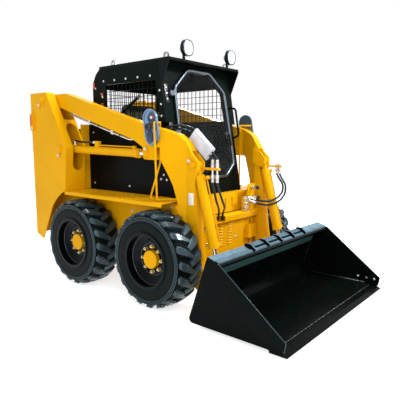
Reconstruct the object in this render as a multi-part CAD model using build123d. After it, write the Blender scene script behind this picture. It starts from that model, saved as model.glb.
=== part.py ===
from build123d import *
from math import atan2, cos, hypot, pi, radians, sin, sqrt, tan
import os

os.makedirs("parts", exist_ok=True)

# Skid steer loader, millimetres.  +X is the machine's left, the front faces -Y, +Z is up and
# the origin is the middle of the footprint on the ground.  Side outlines are written as
# (ahead, up): ahead is the distance forward of the point midway between the two axles.

# ---------------------------------------------------------------- overall sizes
LIP_AHEAD = 1737.0          # tip of the cutting edge
TAIL_BEHIND = 1250.0        # rear face of the rear door's hinge knuckles
WHEELBASE = 954.0
BUCKET_W = 1685.0
CAB_HALF = 478.0            # cab side planes, from the middle
CAB_TOP = 1966.0

# ---------------------------------------------------------------- clearances
RUN = 0.3                   # radial play of a pin, shaft or rod in its bore
SEAT = 0.3                  # gap between a moving piece and the face it sits on
SIDE_PLAY = 3.0             # each side of an eye between its two plates
PLATE = 10.0                # body plate
SHEET = 6.0                 # cab and cover sheet

# ---------------------------------------------------------------- wheels
WALL_OUT = 538.0            # outer face of the lower frame's side walls
TYRE_D = 775.0
TYRE_W = 264.0
TYRE_WALL = 24.0
TYRE_GAP = 13.0             # tyre to the lower frame's side wall
SHOULDER_R = 46.0
RIM_D = 419.0
RIM_W = 232.0
RIM_LIP = 14.0
RIM_THICK = 8.0
DISC_IN = 92.0              # wheel disc's outer face, inward from the tyre's outer face
DISC_THICK = 12.0
HUB_CAP_D = 145.0
HUB_CAP_IN = 55.0           # hub cap's face, inward from the tyre's outer face
HUB_FLANGE_D = 250.0
HUB_FLANGE_THICK = 16.0
AXLE_D = 62.0
AXLE_IN = 330.0             # inner end of the axle shaft, from the middle
HOUSING_D = 150.0
HOUSING_FLANGE_D = 216.0
NUT_PCD = 203.0
NUT_COUNT = 8
STUD_D = 16.0

# ---------------------------------------------------------------- lower frame
BELLY = 215.0               # underside of the belly plate
DECK = 814.0                # top of the lower frame's side walls
BOARD_TOP = 838.0
BOARD_OUT = 755.0
BOARD_LIP = 28.0
BOARD_PLATE = 6.0
NOSE_HALF = 420.0           # half width of the nose between the arms' legs
NOSE_UP = 614.0             # slotted upper panel, at its foot
NOSE_LOW = 664.0            # bolted lower plate, at its top
NOSE_SPLIT = (598.0, 676.0)
NOSE_SLOTS = (50.0, 146.0, 243.0)

# ---------------------------------------------------------------- towers
TOWER_OUT = 745.0
TOWER_IN = 540.0            # inner face of the space inside a tower
TOWER_REAR = -1170.0
TOWER_TOP = 1752.0
ARCH_R = 487.0              # wheel arch, about the rear axle
SLOT_MID = 607.0            # slot that the lift cylinder swings in
SLOT_W = 118.0
SLOT_LOW = 1030.0
SLOT_HIGH = 1465.0
ARM_PIVOT = (-962.0, 1677.0)
ARM_PIN_D = 60.0
LIFT_PIN = (-705.0, 1225.0)
LIFT_PIN_D = 38.0

# ---------------------------------------------------------------- loader arms
BEAM_IN = 570.0
BEAM_OUT = 650.0
LEG_IN = 445.0
LEG_OUT = 522.0
BEND_START = 430.0          # where the beams start to turn in towards the legs
BEND_END = 650.0
ARM_PLATE = 11.0
LIFT_EYE = (345.0, 1202.0)
TILT_PIN = (725.0, 1120.0)
BUCKET_PIN = (865.0, 135.0)
TILT_EYE = (937.5, 320.0)
PIN_D = 36.0
PROP_D = 15.0
PROP_Z = 1447.0
CROSS_REAR = 634.0          # box section between the legs
CROSS_FRONT = 706.0
CROSS_LOW = 608.0
CROSS_TOP = 676.0
CROSS_WALL = 8.0
CROSS_NOTCH = (-205.0, -78.0)   # where the hoses enter the box section
DOUBLER = 8.0               # the gooseneck's outer plate stands this far off the leg
COUPLER_PLATE_X = (283.0, 405.0)
COUPLER_TOP = 915.0
QUICK_COUPLERS = ((335.0, 880.0), (352.0, 790.0))

# ---------------------------------------------------------------- hoses
HOSE_D = 18.0
FITTING_D = 27.0
PIPE_D = 14.0
BRACKET_Z = 1084.0          # hose brackets beside the tilt cylinders' heads
BRACKET_THICK = 16.0
HOSE_AHEAD = (822.0, 868.0)     # the right bracket's two holes
HOSE_SIDE = 410.0
FAR_BRACKET_Z = 1060.0
FAR_HOSE_AHEAD = (836.0, 866.0)
FAR_HOSE_SIDE = 537.0
SLEEVE_WALL = 3.0

# ---------------------------------------------------------------- cylinders
LIFT_TUBE_D = 70.0
LIFT_ROD_D = 38.0
LIFT_TUBE_END = 925.0       # along the cylinder from the rear pin
LIFT_NECK = 34.0
LIFT_X = 610.0
LIFT_BOSS = 44.0            # hose boss's face above the barrel's middle
TILT_TUBE_D = 76.0
TILT_ROD_D = 36.0
TILT_TUBE_END = 654.0
TILT_NECK = 78.0            # head pin to the start of the tube
TILT_RETRACT = 80.0         # travel kept behind the rod at rest
TILT_X = 474.0
EYE_W = 46.0
LIFT_EYE_R = 36.0
TILT_EYE_R = 26.0

# ---------------------------------------------------------------- bucket
SIDE_PLATE = 10.0
BUCKET_SHEET = 9.0
HEEL = (944.0, 36.0)
BACK_TOP = (1117.0, 533.0)
TOP_FRONT = (1212.0, 500.0)
SIDE_NOSE = (1723.0, 103.0)
EDGE_START = 1609.0
EDGE_THICK = 16.0
LIP_TUBE_D = 58.0
COUPLER_PLATE = 14.0
STEP_RIBS = (-400.0, -200.0, 0.0, 200.0, 400.0)
STEP_TEETH = 7

# ---------------------------------------------------------------- cab
CAB_WALL = 18.0
CAB_REAR = -540.0
CAB_FLOOR = 846.0
WAIST = 1455.0              # top of the lower side panels
FRONT_FOOT = (500.0, 860.0)
FRONT_HEAD = (320.0, 1900.0)
PANEL_HALF = 440.0          # outer face of the lower side panels
ROOF_THICK = 22.0
ROOF_FRONT = 436.0
WINDOW_LOW = 1490.0
WINDOW_HIGH = 1800.0
WINDOW_BACK = -360.0
GUARD_BAR = 5.0
DOOR_TUBE = 26.0
DOOR_BEND = 70.0            # bends of the door's tube
HANDLE_X = 420.0
HANDLE_HEIGHTS = (1327.0, 1607.0)
HANDLE_OUT = 70.0
HANDLE_D = 20.0
LEVER_X = 190.0
PEDAL_X = 130.0
LAMP_X = 296.0
LAMP_W = 122.0
LAMP_H = 130.0
LAMP_RISE = 84.0            # lamp middle above the roof
DOOR_HINGE_X = -392.0
DOOR_HINGE_HEIGHTS = (1690.0, 1380.0)
DOOR_GAP = 4.0

# ---------------------------------------------------------------- rear
HOOD_TOP = 1425.0
HOOD_HINGE = (-600.0, 1432.0)
HOOD_HALF = 515.0
HOOD_SLOTS = (-780.0, -840.0, -900.0, -960.0, -1020.0)
DOOR_FACE = -1240.0
REAR_DOOR_THICK = 36.0
REAR_DOOR_LOW = 440.0
REAR_DOOR_HIGH = 1330.0
KNUCKLE_R = 12.0
TIE_HOLE_D = 32.0
EYE_HOLE_D = 30.0

FOOT_MID = (LIP_AHEAD - TAIL_BEHIND) / 2
AXLES = (("front", WHEELBASE / 2), ("rear", -WHEELBASE / 2))
SIDES = (("left", 1), ("right", -1))
TRACK = 2 * (WALL_OUT + TYRE_GAP) + TYRE_W      # tyre middle to tyre middle
AXLE_Z = TYRE_D / 2


# ---------------------------------------------------------------- helpers
def row_y(ahead):
    """Row Y of a distance forward of the middle of the wheelbase."""
    return FOOT_MID - ahead


def outline(*corners):
    """Face from corners (a, b) or, for a rounded corner, (a, b, radius)."""
    points = [Vector(c[0], c[1]) for c in corners]
    ends = []
    for i, corner in enumerate(corners):
        point = points[i]
        radius = corner[2] if len(corner) > 2 else 0
        if not radius:
            ends.append((point, None, point))
            continue
        back = (points[i - 1] - point).normalized()
        on = (points[(i + 1) % len(points)] - point).normalized()
        half = radians(back.get_angle(on)) / 2
        inward = (back + on).normalized()
        middle = point + inward * (radius / sin(half) - radius)
        reach = radius / tan(half)
        ends.append((point + back * reach, middle, point + on * reach))
    edges = []
    for i, (start, middle, end) in enumerate(ends):
        previous = ends[i - 1][2]
        if (start - previous).length > 1e-6:
            edges.append(Line(previous, start))
        if middle is not None:
            edges.append(ThreePointArc(start, middle, end))
    return make_face(edges)


def ribbon(points, thick):
    """Corners of a bent sheet: the points, then the same line moved thick to its left."""
    path = [Vector(p[0], p[1]) for p in points]
    turned = []
    for i, point in enumerate(path):
        before = (point - path[i - 1]).normalized() if i else None
        after = (path[i + 1] - point).normalized() if i < len(path) - 1 else None
        before = before or after
        after = after or before
        left_a = Vector(-before.Y, before.X)
        left_b = Vector(-after.Y, after.X)
        middle = (left_a + left_b).normalized()
        turned.append(point + middle * (thick / middle.dot(left_a)))
    return [(p.X, p.Y) for p in path] + [(p.X, p.Y) for p in reversed(turned)]


def side_plane(x):
    return Plane(origin=(x, FOOT_MID, 0), x_dir=(0, -1, 0), z_dir=(-1, 0, 0))


def across(face, x_low, x_high):
    """Side outline as a solid from x_low to x_high."""
    return extrude(side_plane(x_high) * face, amount=x_high - x_low, dir=(-1, 0, 0))


def forward(face, ahead_low, ahead_high):
    """Front outline (x, up) as a solid between two distances ahead."""
    plane = Plane(origin=(0, row_y(ahead_low), 0), x_dir=(1, 0, 0), z_dir=(0, -1, 0))
    return extrude(plane * face, amount=ahead_high - ahead_low, dir=(0, -1, 0))


def upward(face, z_low, z_high):
    """Plan outline (x, ahead) as a solid between two heights."""
    plane = Plane(origin=(0, FOOT_MID, z_high), x_dir=(1, 0, 0), z_dir=(0, 0, -1))
    return extrude(plane * face, amount=z_high - z_low, dir=(0, 0, -1))


def block(x_low, x_high, ahead_low, ahead_high, z_low, z_high):
    return Pos((x_low + x_high) / 2, row_y((ahead_low + ahead_high) / 2), (z_low + z_high) / 2) * Box(
        x_high - x_low, ahead_high - ahead_low, z_high - z_low)


def rod_x(place, diameter, x_low, x_high):
    """Round bar along X at (ahead, up)."""
    centre = Pos((x_low + x_high) / 2, row_y(place[0]), place[1])
    return centre * Rot(0, 90, 0) * Cylinder(diameter / 2, x_high - x_low)


def rod_y(x, z, diameter, ahead_low, ahead_high):
    centre = Pos(x, row_y((ahead_low + ahead_high) / 2), z)
    return centre * Rot(90, 0, 0) * Cylinder(diameter / 2, ahead_high - ahead_low)


def rod_z(x, ahead, diameter, z_low, z_high):
    return Pos(x, row_y(ahead), (z_low + z_high) / 2) * Cylinder(diameter / 2, z_high - z_low)


def both(part):
    """The part and its mirror image on the other side of the machine."""
    return part + mirror(part, about=Plane.YZ)


def one_side(part, sign):
    """The part as made on the left, or its mirror image for the right."""
    return part if sign > 0 else mirror(part, about=Plane.YZ)


def place(point):
    """Row position of (x, ahead, up)."""
    x, ahead, z = point
    return Vector(x, row_y(ahead), z)


def tube(points, diameter, share=0.45):
    """Round hose or pipe: straight runs joined by arcs as large as the runs allow."""
    spots = [place(point) for point in points]
    runs = [(spots[i + 1] - spots[i]).length for i in range(len(spots) - 1)]
    radii = []
    for i in range(1, len(spots) - 1):
        turn = (spots[i] - spots[i - 1]).get_angle(spots[i + 1] - spots[i])
        radii.append(share * min(runs[i - 1], runs[i]) / tan(radians(turn) / 2))
    path = FilletPolyline(*spots, radius=radii)
    print("arc radii", [round(radius) for radius in radii])
    start = Plane(origin=path @ 0, z_dir=path % 0)
    return sweep(start * Circle(diameter / 2), path=path)


def stub(a, b, diameter):
    """Straight round piece between two (x, ahead, up) points."""
    start = place(a)
    run = place(b) - start
    return extrude(Plane(origin=start, z_dir=run) * Circle(diameter / 2), amount=run.length)


def save(part, name):
    export_step(part, "parts/" + name + ".step")


def front_ahead(z):
    """Distance ahead of the sloping front of the cab at height z."""
    share = (z - FRONT_FOOT[1]) / (FRONT_HEAD[1] - FRONT_FOOT[1])
    return FRONT_FOOT[0] + share * (FRONT_HEAD[0] - FRONT_FOOT[0])


FRONT_LEAN = atan2(FRONT_FOOT[0] - FRONT_HEAD[0], FRONT_HEAD[1] - FRONT_FOOT[1])
FRONT_PLANE = Plane(origin=(0, row_y(FRONT_FOOT[0]), FRONT_FOOT[1]), x_dir=(1, 0, 0),
                    z_dir=(0, -cos(FRONT_LEAN), sin(FRONT_LEAN)))


def up_front(z):
    """Distance up the sloping front from its foot for height z."""
    return (z - FRONT_FOOT[1]) / cos(FRONT_LEAN)


def on_front(face, low, high):
    """Outline in the sloping front, from low to high out of it."""
    lifted = FRONT_PLANE.offset(low)
    return extrude(lifted * face, amount=high - low, dir=lifted.z_dir)


# ---------------------------------------------------------------- wheels
def tyre():
    """Carcass ring with rounded shoulders, turned about X with its middle at the origin."""
    out = TYRE_D / 2
    bead = RIM_D / 2
    half = TYRE_W / 2
    inner = half - TYRE_WALL
    section = outline((-half, bead), (-half, out, SHOULDER_R), (half, out, SHOULDER_R), (half, bead),
                      (inner, bead), (inner, out - 1.4 * TYRE_WALL), (-inner, out - 1.4 * TYRE_WALL),
                      (-inner, bead))
    return revolve(Plane.XZ * section, axis=Axis.X, revolution_arc=360)


def rim():
    """Barrel with flanges and a deep disc, outer side towards +X."""
    seat_r = RIM_D / 2 - SEAT
    half = RIM_W / 2
    disc_x = TYRE_W / 2 - DISC_IN
    barrel = outline((-half, seat_r), (half, seat_r), (half, seat_r - RIM_THICK),
                     (-half, seat_r - RIM_THICK))
    body = barrel
    for side in (-1, 1):
        lip_low = side * (half - 6)
        lip_high = side * (TYRE_W / 2 + SEAT + 6)
        lip_face = side * (TYRE_W / 2 + SEAT)
        body += outline((lip_low, seat_r - RIM_THICK), (lip_high, seat_r - RIM_THICK),
                        (lip_high, seat_r + RIM_LIP),
                        (lip_face, seat_r + RIM_LIP), (lip_face, seat_r), (lip_low, seat_r))
    bore_r = HUB_CAP_D / 2 + 2
    dish = outline((disc_x, bore_r), (disc_x, HUB_FLANGE_D / 2), (disc_x + 34, seat_r - RIM_THICK),
                   (disc_x + 34 - DISC_THICK * 1.4, seat_r - RIM_THICK),
                   (disc_x - DISC_THICK, HUB_FLANGE_D / 2 + 4), (disc_x - DISC_THICK, bore_r))
    body += dish
    turned = revolve(Plane.XZ * body, axis=Axis.X, revolution_arc=360)
    for i in range(NUT_COUNT):
        angle = 2 * pi * i / NUT_COUNT
        place = Pos(disc_x, NUT_PCD / 2 * cos(angle), NUT_PCD / 2 * sin(angle))
        turned -= place * Rot(0, 90, 0) * Cylinder(STUD_D / 2 + 1, DISC_THICK * 4)
    return turned


def hub():
    """Hub cap, flange behind the wheel disc, studs and the axle shaft, outer side towards +X."""
    cap_x = TYRE_W / 2 - HUB_CAP_IN
    flange_x = TYRE_W / 2 - DISC_IN - DISC_THICK
    cap_r = HUB_CAP_D / 2
    inner = AXLE_IN - TRACK / 2
    section = outline((inner, 0), (cap_x, 0), (cap_x, cap_r, 6), (flange_x, cap_r),
                      (flange_x, HUB_FLANGE_D / 2),
                      (flange_x - HUB_FLANGE_THICK, HUB_FLANGE_D / 2),
                      (flange_x - HUB_FLANGE_THICK, AXLE_D / 2),
                      (inner, AXLE_D / 2))
    turned = revolve(Plane.XZ * section, axis=Axis.X, revolution_arc=360)
    for i in range(NUT_COUNT):
        angle = 2 * pi * i / NUT_COUNT
        place = Pos(flange_x + DISC_THICK, NUT_PCD / 2 * cos(angle), NUT_PCD / 2 * sin(angle))
        turned += place * Rot(0, 90, 0) * Cylinder(STUD_D / 2, DISC_THICK * 2 + 6)
    return turned


def wheels():
    shapes = (("tyre", tyre()), ("rim", rim()), ("hub", hub()))
    for axle, ahead in AXLES:
        for side, sign in SIDES:
            place = Pos(sign * TRACK / 2, row_y(ahead), AXLE_Z)
            for name, shape in shapes:
                save(place * (shape if sign > 0 else Rot(0, 0, 180) * shape), f"{name}_{axle}_{side}")


def axle_housings():
    """Four bolted tubes that carry the hubs' shafts through the lower frame's walls."""
    out = TRACK / 2 + TYRE_W / 2 - DISC_IN - DISC_THICK - HUB_FLANGE_THICK - 6
    tubes = Part()
    for axle, ahead in AXLES:
        place = (ahead, AXLE_Z)
        tube = rod_x(place, HOUSING_D, WALL_OUT, out)
        tube += rod_x(place, HOUSING_FLANGE_D, WALL_OUT, WALL_OUT + 12)
        tube += rod_x(place, HOUSING_D - 30, AXLE_IN + 40, WALL_OUT)
        tube -= rod_x(place, AXLE_D + 2 * RUN, AXLE_IN, out + 10)
        tubes += both(tube)
    save(tubes, "axle_housings")


# ---------------------------------------------------------------- lower frame
def chassis():
    rear = TOWER_REAR + PLATE
    wall = outline((rear, 300), (rear + 90, BELLY, 40), (590, BELLY, 40), (626, 300), (613, 620),
                   (522, DECK),
                   (rear, DECK))
    body = both(across(wall, WALL_OUT - PLATE, WALL_OUT))
    inner = WALL_OUT - PLATE
    body += block(-inner, inner, rear + 90, 580, BELLY, BELLY + PLATE)
    nose = outline((575, BELLY), (590, BELLY), (590, 640), (522, DECK), (507, DECK), (575, 636))
    body += across(nose, -inner, inner)
    body += block(-inner, inner, rear, rear + PLATE, 300, REAR_DOOR_LOW)
    heel = outline((rear, 300), (rear + 90, BELLY), (rear + 90, BELLY + PLATE), (rear + 6, 308))
    body += across(heel, -inner, inner)
    for place in (180.0, -180.0):
        body += block(-inner, inner, place - 20, place + 20, BELLY + PLATE, BELLY + 90)
    body += rear_frame()
    for axle, ahead in AXLES:
        hole = rod_x((ahead, AXLE_Z), HOUSING_D - 30 + 2 * SEAT, 300, 700)
        body -= both(hole)
    save(body, "chassis")


def front_panel():
    """Nose between the legs: slotted upper panel, bolted lower plate and a gap for the cross tube."""
    low, high = NOSE_SPLIT
    upper = [(560, 848), (606, 848), (NOSE_UP, high)]
    lower = [(590 + SEAT, low), (NOSE_LOW, low), (650, 250), (594, 232)]
    sheet = across(outline(*ribbon(upper, -8)), -NOSE_HALF, NOSE_HALF)
    sheet += across(outline(*ribbon(lower, -8)), -NOSE_HALF, NOSE_HALF)
    cheek = outline((590 + SEAT, 236), (646, 254), (NOSE_LOW - 4, low - 4), (606, low - 4), (606, high),
                    (600, 842), (590 + SEAT, 842))
    sheet += both(across(cheek, NOSE_HALF - 8, NOSE_HALF))
    for x in NOSE_SLOTS:
        slot = Pos(x, 757) * Rot(0, 0, 90) * SlotOverall(90, 13)
        sheet -= forward(slot, 560, 640)
    sheet -= block(354, 374, 636, 720, 300, 572)
    sheet += block(290, 415, 652, 700, 412, 538) - block(298, 407, 640, 692, 404, 530)
    save(sheet, "front_panel")


def running_boards():
    rear = -645
    plan = outline((PANEL_HALF, rear), (BOARD_OUT, rear), (BOARD_OUT, 600), (568, 577), (PANEL_HALF, 570))
    board = upward(plan, BOARD_TOP - BOARD_PLATE, BOARD_TOP)
    board += block(BOARD_OUT - BOARD_PLATE, BOARD_OUT, rear, 600, BOARD_TOP - BOARD_LIP, BOARD_TOP)
    board += block(WALL_OUT - 40, WALL_OUT, rear, 506, DECK + SEAT, BOARD_TOP - BOARD_PLATE)
    save(both(board), "running_boards")


# ---------------------------------------------------------------- towers
def tower(sign):
    """Upright that carries an arm's pivot and a lift cylinder, open at the top for the arm."""
    rear_axle = -WHEELBASE / 2
    arch_start = (-650.0, AXLE_Z + sqrt(ARCH_R ** 2 - (-650.0 - rear_axle) ** 2))
    turn = radians(23)
    arch_end = (rear_axle - ARCH_R * cos(turn), AXLE_Z + ARCH_R * sin(turn))
    middle_turn = radians(65)
    arch_mid = (rear_axle - ARCH_R * cos(middle_turn), AXLE_Z + ARCH_R * sin(middle_turn))
    bottom = (-1055.0, 334.0)
    heel = (TOWER_REAR, 380.0)
    knee = (-610.0, 1240.0)
    brow = (-900.0, TOWER_TOP)
    rear_top = (TOWER_REAR, TOWER_TOP)
    loop = [Line(bottom, heel), Line(heel, rear_top), Line(rear_top, brow), Line(brow, knee),
            Line(knee, arch_start), ThreePointArc(arch_start, arch_mid, arch_end), Line(arch_end, bottom)]
    profile = make_face(loop)
    body = across(profile, TOWER_OUT - PLATE, TOWER_OUT)
    inner_face = TOWER_IN - PLATE
    foot = DECK + SEAT
    inner_plate = outline((TOWER_REAR, foot), rear_top, brow, knee, (-650, foot))
    body += across(inner_plate, inner_face, TOWER_IN)
    body += block(inner_face, TOWER_OUT, TOWER_REAR, TOWER_REAR + PLATE, foot, TOWER_TOP)
    body += block(WALL_OUT + RUN, TOWER_OUT, TOWER_REAR, TOWER_REAR + PLATE, 380, foot)
    front = across(outline(*ribbon([brow, knee, (-650, foot)], -PLATE)), inner_face, TOWER_OUT)
    over = BEAM_OUT + 7
    front -= block(TOWER_IN, over, -1000, -500, 1500, 1900)
    slot = forward(Pos(SLOT_MID, (SLOT_LOW + SLOT_HIGH) / 2) * Rot(0, 0, 90) * SlotOverall(
        SLOT_HIGH - SLOT_LOW, SLOT_W), -800, -500)
    body += front - slot
    body += block(PANEL_HALF + RUN, inner_face, -680, -670, BOARD_TOP, WAIST)
    body += rod_x(ARM_PIVOT, ARM_PIN_D, inner_face, TOWER_OUT)
    body += rod_x(ARM_PIVOT, 96, TOWER_OUT, TOWER_OUT + 8)
    body += rod_x(ARM_PIVOT, 96, TOWER_IN, BEAM_IN - SIDE_PLAY)
    body += rod_x(ARM_PIVOT, 96, BEAM_OUT + SIDE_PLAY, TOWER_OUT - PLATE)
    body += rod_x(LIFT_PIN, LIFT_PIN_D, inner_face, TOWER_OUT)
    body += rod_x(LIFT_PIN, 72, TOWER_OUT, TOWER_OUT + 8)
    eye_low = LIFT_X - EYE_W / 2 - SIDE_PLAY
    eye_high = LIFT_X + EYE_W / 2 + SIDE_PLAY
    body += rod_x(LIFT_PIN, 62, TOWER_IN, eye_low)
    body += rod_x(LIFT_PIN, 62, eye_high, TOWER_OUT - PLATE)
    return one_side(body, sign)


def towers():
    for side, sign in SIDES:
        save(tower(sign), "tower_" + side)


def body_side_panels():
    panel = outline((-670, BOARD_TOP - 20), (-670, WAIST), (front_ahead(WAIST) - 5, WAIST),
                    (front_ahead(BOARD_TOP) - 5, BOARD_TOP - 20))
    save(both(across(panel, PANEL_HALF - SHEET, PANEL_HALF - RUN)), "body_side_panels")


def engine():
    block_part = block(-240, 240, -1060, -620, 330, 900)
    for x in (-200, 200):
        block_part += block(x - 30, x + 30, -1040, -640, BELLY + PLATE + RUN, 330)
    save(block_part, "engine")


def rear_bumper():
    beam = block(-500, 500, TOWER_REAR - 68, TOWER_REAR + PLATE - RUN, 310, REAR_DOOR_LOW - 20)
    beam -= block(-490, 490, TOWER_REAR - 58, TOWER_REAR + PLATE - 10, 320, REAR_DOOR_LOW - 30)
    eye_mid = TOWER_REAR - 30
    lug = outline((eye_mid - 36, 312), (eye_mid + 36, 312), (eye_mid + 28, 250, 22),
                  (eye_mid - 28, 250, 22))
    for x in (-380, 380):
        beam += across(lug, x - 10, x + 10) - rod_x((eye_mid, 278), TIE_HOLE_D, x - 20, x + 20)
    save(beam, "rear_bumper")


# ---------------------------------------------------------------- rear covers
def engine_hood():
    """Lid between the towers, hinged along its front edge behind the cab."""
    line = [(-606, HOOD_TOP), (-1150, HOOD_TOP - 50), (-1206, HOOD_TOP - 84)]
    lid = across(outline(*ribbon(line, SHEET)), -HOOD_HALF, HOOD_HALF)
    lip = outline((-692, HOOD_TOP - 8), (-1150, HOOD_TOP - 50), (-1190, HOOD_TOP - 74),
                  (-1150, HOOD_TOP - 78),
                  (-692, HOOD_TOP - 38))
    lid += both(across(lip, HOOD_HALF - SHEET, HOOD_HALF))
    lid -= both(block(PANEL_HALF - SHEET - 8, HOOD_HALF + 10, -690, -500, 1300, 1500))
    for ahead in HOOD_SLOTS:
        lid -= upward(Pos(0, ahead) * SlotOverall(420, 22), 1300, 1500)
    for x in (-330, 330):
        lid -= block(x - 50, x + 50, -640, -500, 1300, 1500)
        lid += rod_x(HOOD_HINGE, 2 * KNUCKLE_R, x - 30, x + 30)
        lid += block(x - 30, x + 30, -665, HOOD_HINGE[0], HOOD_TOP - 11, HOOD_TOP + 6)
        lid -= rod_x(HOOD_HINGE, 12 + 2 * RUN, x - 40, x + 40)
    save(lid, "engine_hood")


def hood_hinges():
    pins = Part()
    for x in (-330, 330):
        pins += rod_x(HOOD_HINGE, 12, x - 46, x + 46)
        for side in (-1, 1):
            ear = outline((HOOD_HINGE[0] - 10, HOOD_HINGE[1] - 12), (CAB_REAR, HOOD_HINGE[1] - 12),
                          (CAB_REAR, HOOD_HINGE[1] + 12), (HOOD_HINGE[0] - 10, HOOD_HINGE[1] + 12, 9))
            low = x + side * 38 - 6
            pins += across(ear, low, low + 12)
    return pins


def rear_door():
    """Grille door hinged on the machine's left."""
    low = REAR_DOOR_LOW
    high = REAR_DOOR_HIGH
    face = outline((-500, low), (500, low), (500, high, 30), (-500, high, 30))
    skin = forward(face, DOOR_FACE, DOOR_FACE + SHEET)
    rim_face = face - outline((-490, low + 10), (490, low + 10), (490, high - 10, 24),
                              (-490, high - 10, 24))
    skin += forward(rim_face, DOOR_FACE, DOOR_FACE + REAR_DOOR_THICK)
    for i in range(7):
        z = low + 330 + i * 70
        skin -= forward(Pos(0, z) * SlotOverall(700, 36), DOOR_FACE - 5, DOOR_FACE + 12)
    for z in (low + 130, high - 130):
        skin += rod_z(512, DOOR_FACE + 2, 2 * KNUCKLE_R, z - 40, z + 40)
        skin += block(494, 512, DOOR_FACE, DOOR_FACE + 8, z - 40, z + 40)
        skin -= rod_z(512, DOOR_FACE + 2, 12 + 2 * RUN, z - 60, z + 60)
    skin += door_latch()
    save(skin, "rear_door")


def door_latch():
    """Recess frame and lever on the free side of the rear door."""
    z = (REAR_DOOR_LOW + REAR_DOOR_HIGH) / 2
    back = DOOR_FACE + 1
    frame = Pos(-440, z) * (RectangleRounded(70, 130, 12) - RectangleRounded(54, 114, 8))
    parts = forward(frame, DOOR_FACE - 6, back)
    parts += forward(Pos(-440, z) * RectangleRounded(22, 96, 10), DOOR_FACE - 9, back)
    return parts


def rear_frame():
    """Uprights beside the engine bay with the ears and pins of the rear door's hinges."""
    posts = both(block(478, WALL_OUT - PLATE, DOOR_FACE + REAR_DOOR_THICK + 1, TOWER_REAR + 2 * PLATE,
                       REAR_DOOR_LOW - 18, REAR_DOOR_HIGH - 5))
    for z in (REAR_DOOR_LOW + 130, REAR_DOOR_HIGH - 130):
        posts += rod_z(512, DOOR_FACE + 2, 12, z - 56, z + 56)
        for end in (z - 56, z + 44):
            posts += block(506, 518, DOOR_FACE + 4, DOOR_FACE + REAR_DOOR_THICK + 2, end, end + 12)
    return posts


# ---------------------------------------------------------------- cab
def octagon(grow):
    """Door outline on the cab's sloping front, (half width, height) from the top down."""
    rows = ((147, 1910), (345, 1745), (360, 1300), (360, 1088), (210, 972))
    right = [(x, up_front(z)) for x, z in rows]
    left = [(-x, s) for x, s in reversed(right)]
    face = make_face(Polyline(*(right + left), close=True))
    return offset(face, amount=grow, kind=Kind.INTERSECTION) if grow else face


def side_window(inset):
    low = WINDOW_LOW + inset
    high = WINDOW_HIGH - inset
    back = WINDOW_BACK + inset
    pillar = 60 + inset
    return outline((back, low, 20), (back, high, 20), (front_ahead(high) - pillar, high, 20),
                   (front_ahead(low) - pillar, low, 20))


def rear_window(inset):
    half = 340 - inset
    low = WINDOW_LOW + inset
    high = WINDOW_HIGH - 20 - inset
    return outline((-half, low, 25), (half, low, 25), (half, high, 25), (-half, high, 25))


def cab_frame():
    """Welded cab shell: upper sides with window openings, sloping front, rear wall and floor."""
    inner = CAB_HALF - CAB_WALL
    top = CAB_TOP - ROOF_THICK
    side = outline((CAB_REAR, WAIST), (CAB_REAR, 1820), (-490, 1905), (-440, top), (front_ahead(top), top),
                   (front_ahead(WAIST), WAIST))
    walls = both(across(side - side_window(0), inner, CAB_HALF))
    sill = block(PANEL_HALF - 30, inner + 1, CAB_REAR, front_ahead(WAIST), WAIST, WAIST + 10)
    walls += both(sill)
    low_out = PANEL_HALF - SHEET - RUN
    waist_up = up_front(WAIST + 8)
    front_face = outline((-low_out, up_front(CAB_FLOOR)), (low_out, up_front(CAB_FLOOR)),
                         (low_out, waist_up),
                         (inner + 1, waist_up), (inner + 1, up_front(top)), (-inner - 1, up_front(top)),
                         (-inner - 1, waist_up), (-low_out, waist_up))
    walls += on_front(front_face - octagon(-12), -30, 0)
    rear_face = outline((-low_out, CAB_FLOOR), (low_out, CAB_FLOOR), (low_out, WAIST), (inner + 1, WAIST),
                        (inner + 1, 1820), (-inner - 1, 1820), (-inner - 1, WAIST), (-low_out, WAIST))
    walls += forward(rear_face - rear_window(0), CAB_REAR, CAB_REAR + CAB_WALL)
    slope = ribbon([(CAB_REAR, 1820), (-490, 1905), (-440, top)], -CAB_WALL)
    walls += across(outline(*slope), -inner - 1, inner + 1)
    walls += block(-low_out, low_out, CAB_REAR, front_ahead(CAB_FLOOR) - 20, CAB_FLOOR - 10, CAB_FLOOR)
    walls += hood_hinges()
    walls += door_hinges()
    walls += grab_handle()
    save(walls, "cab_frame")


def grab_handle():
    """Bent bar on the left of the door opening."""
    low, high = (up_front(z) for z in HANDLE_HEIGHTS)
    corners = ((low, -3), (low + 12, HANDLE_OUT), (high - 12, HANDLE_OUT), (high, -3))
    spots = [FRONT_PLANE.from_local_coords(Vector(HANDLE_X, up, out)) for up, out in corners]
    path = FilletPolyline(*spots, radius=HANDLE_OUT / 2)
    start = Plane(origin=path @ 0, z_dir=path % 0)
    return sweep(start * Circle(HANDLE_D / 2), path=path)


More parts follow.
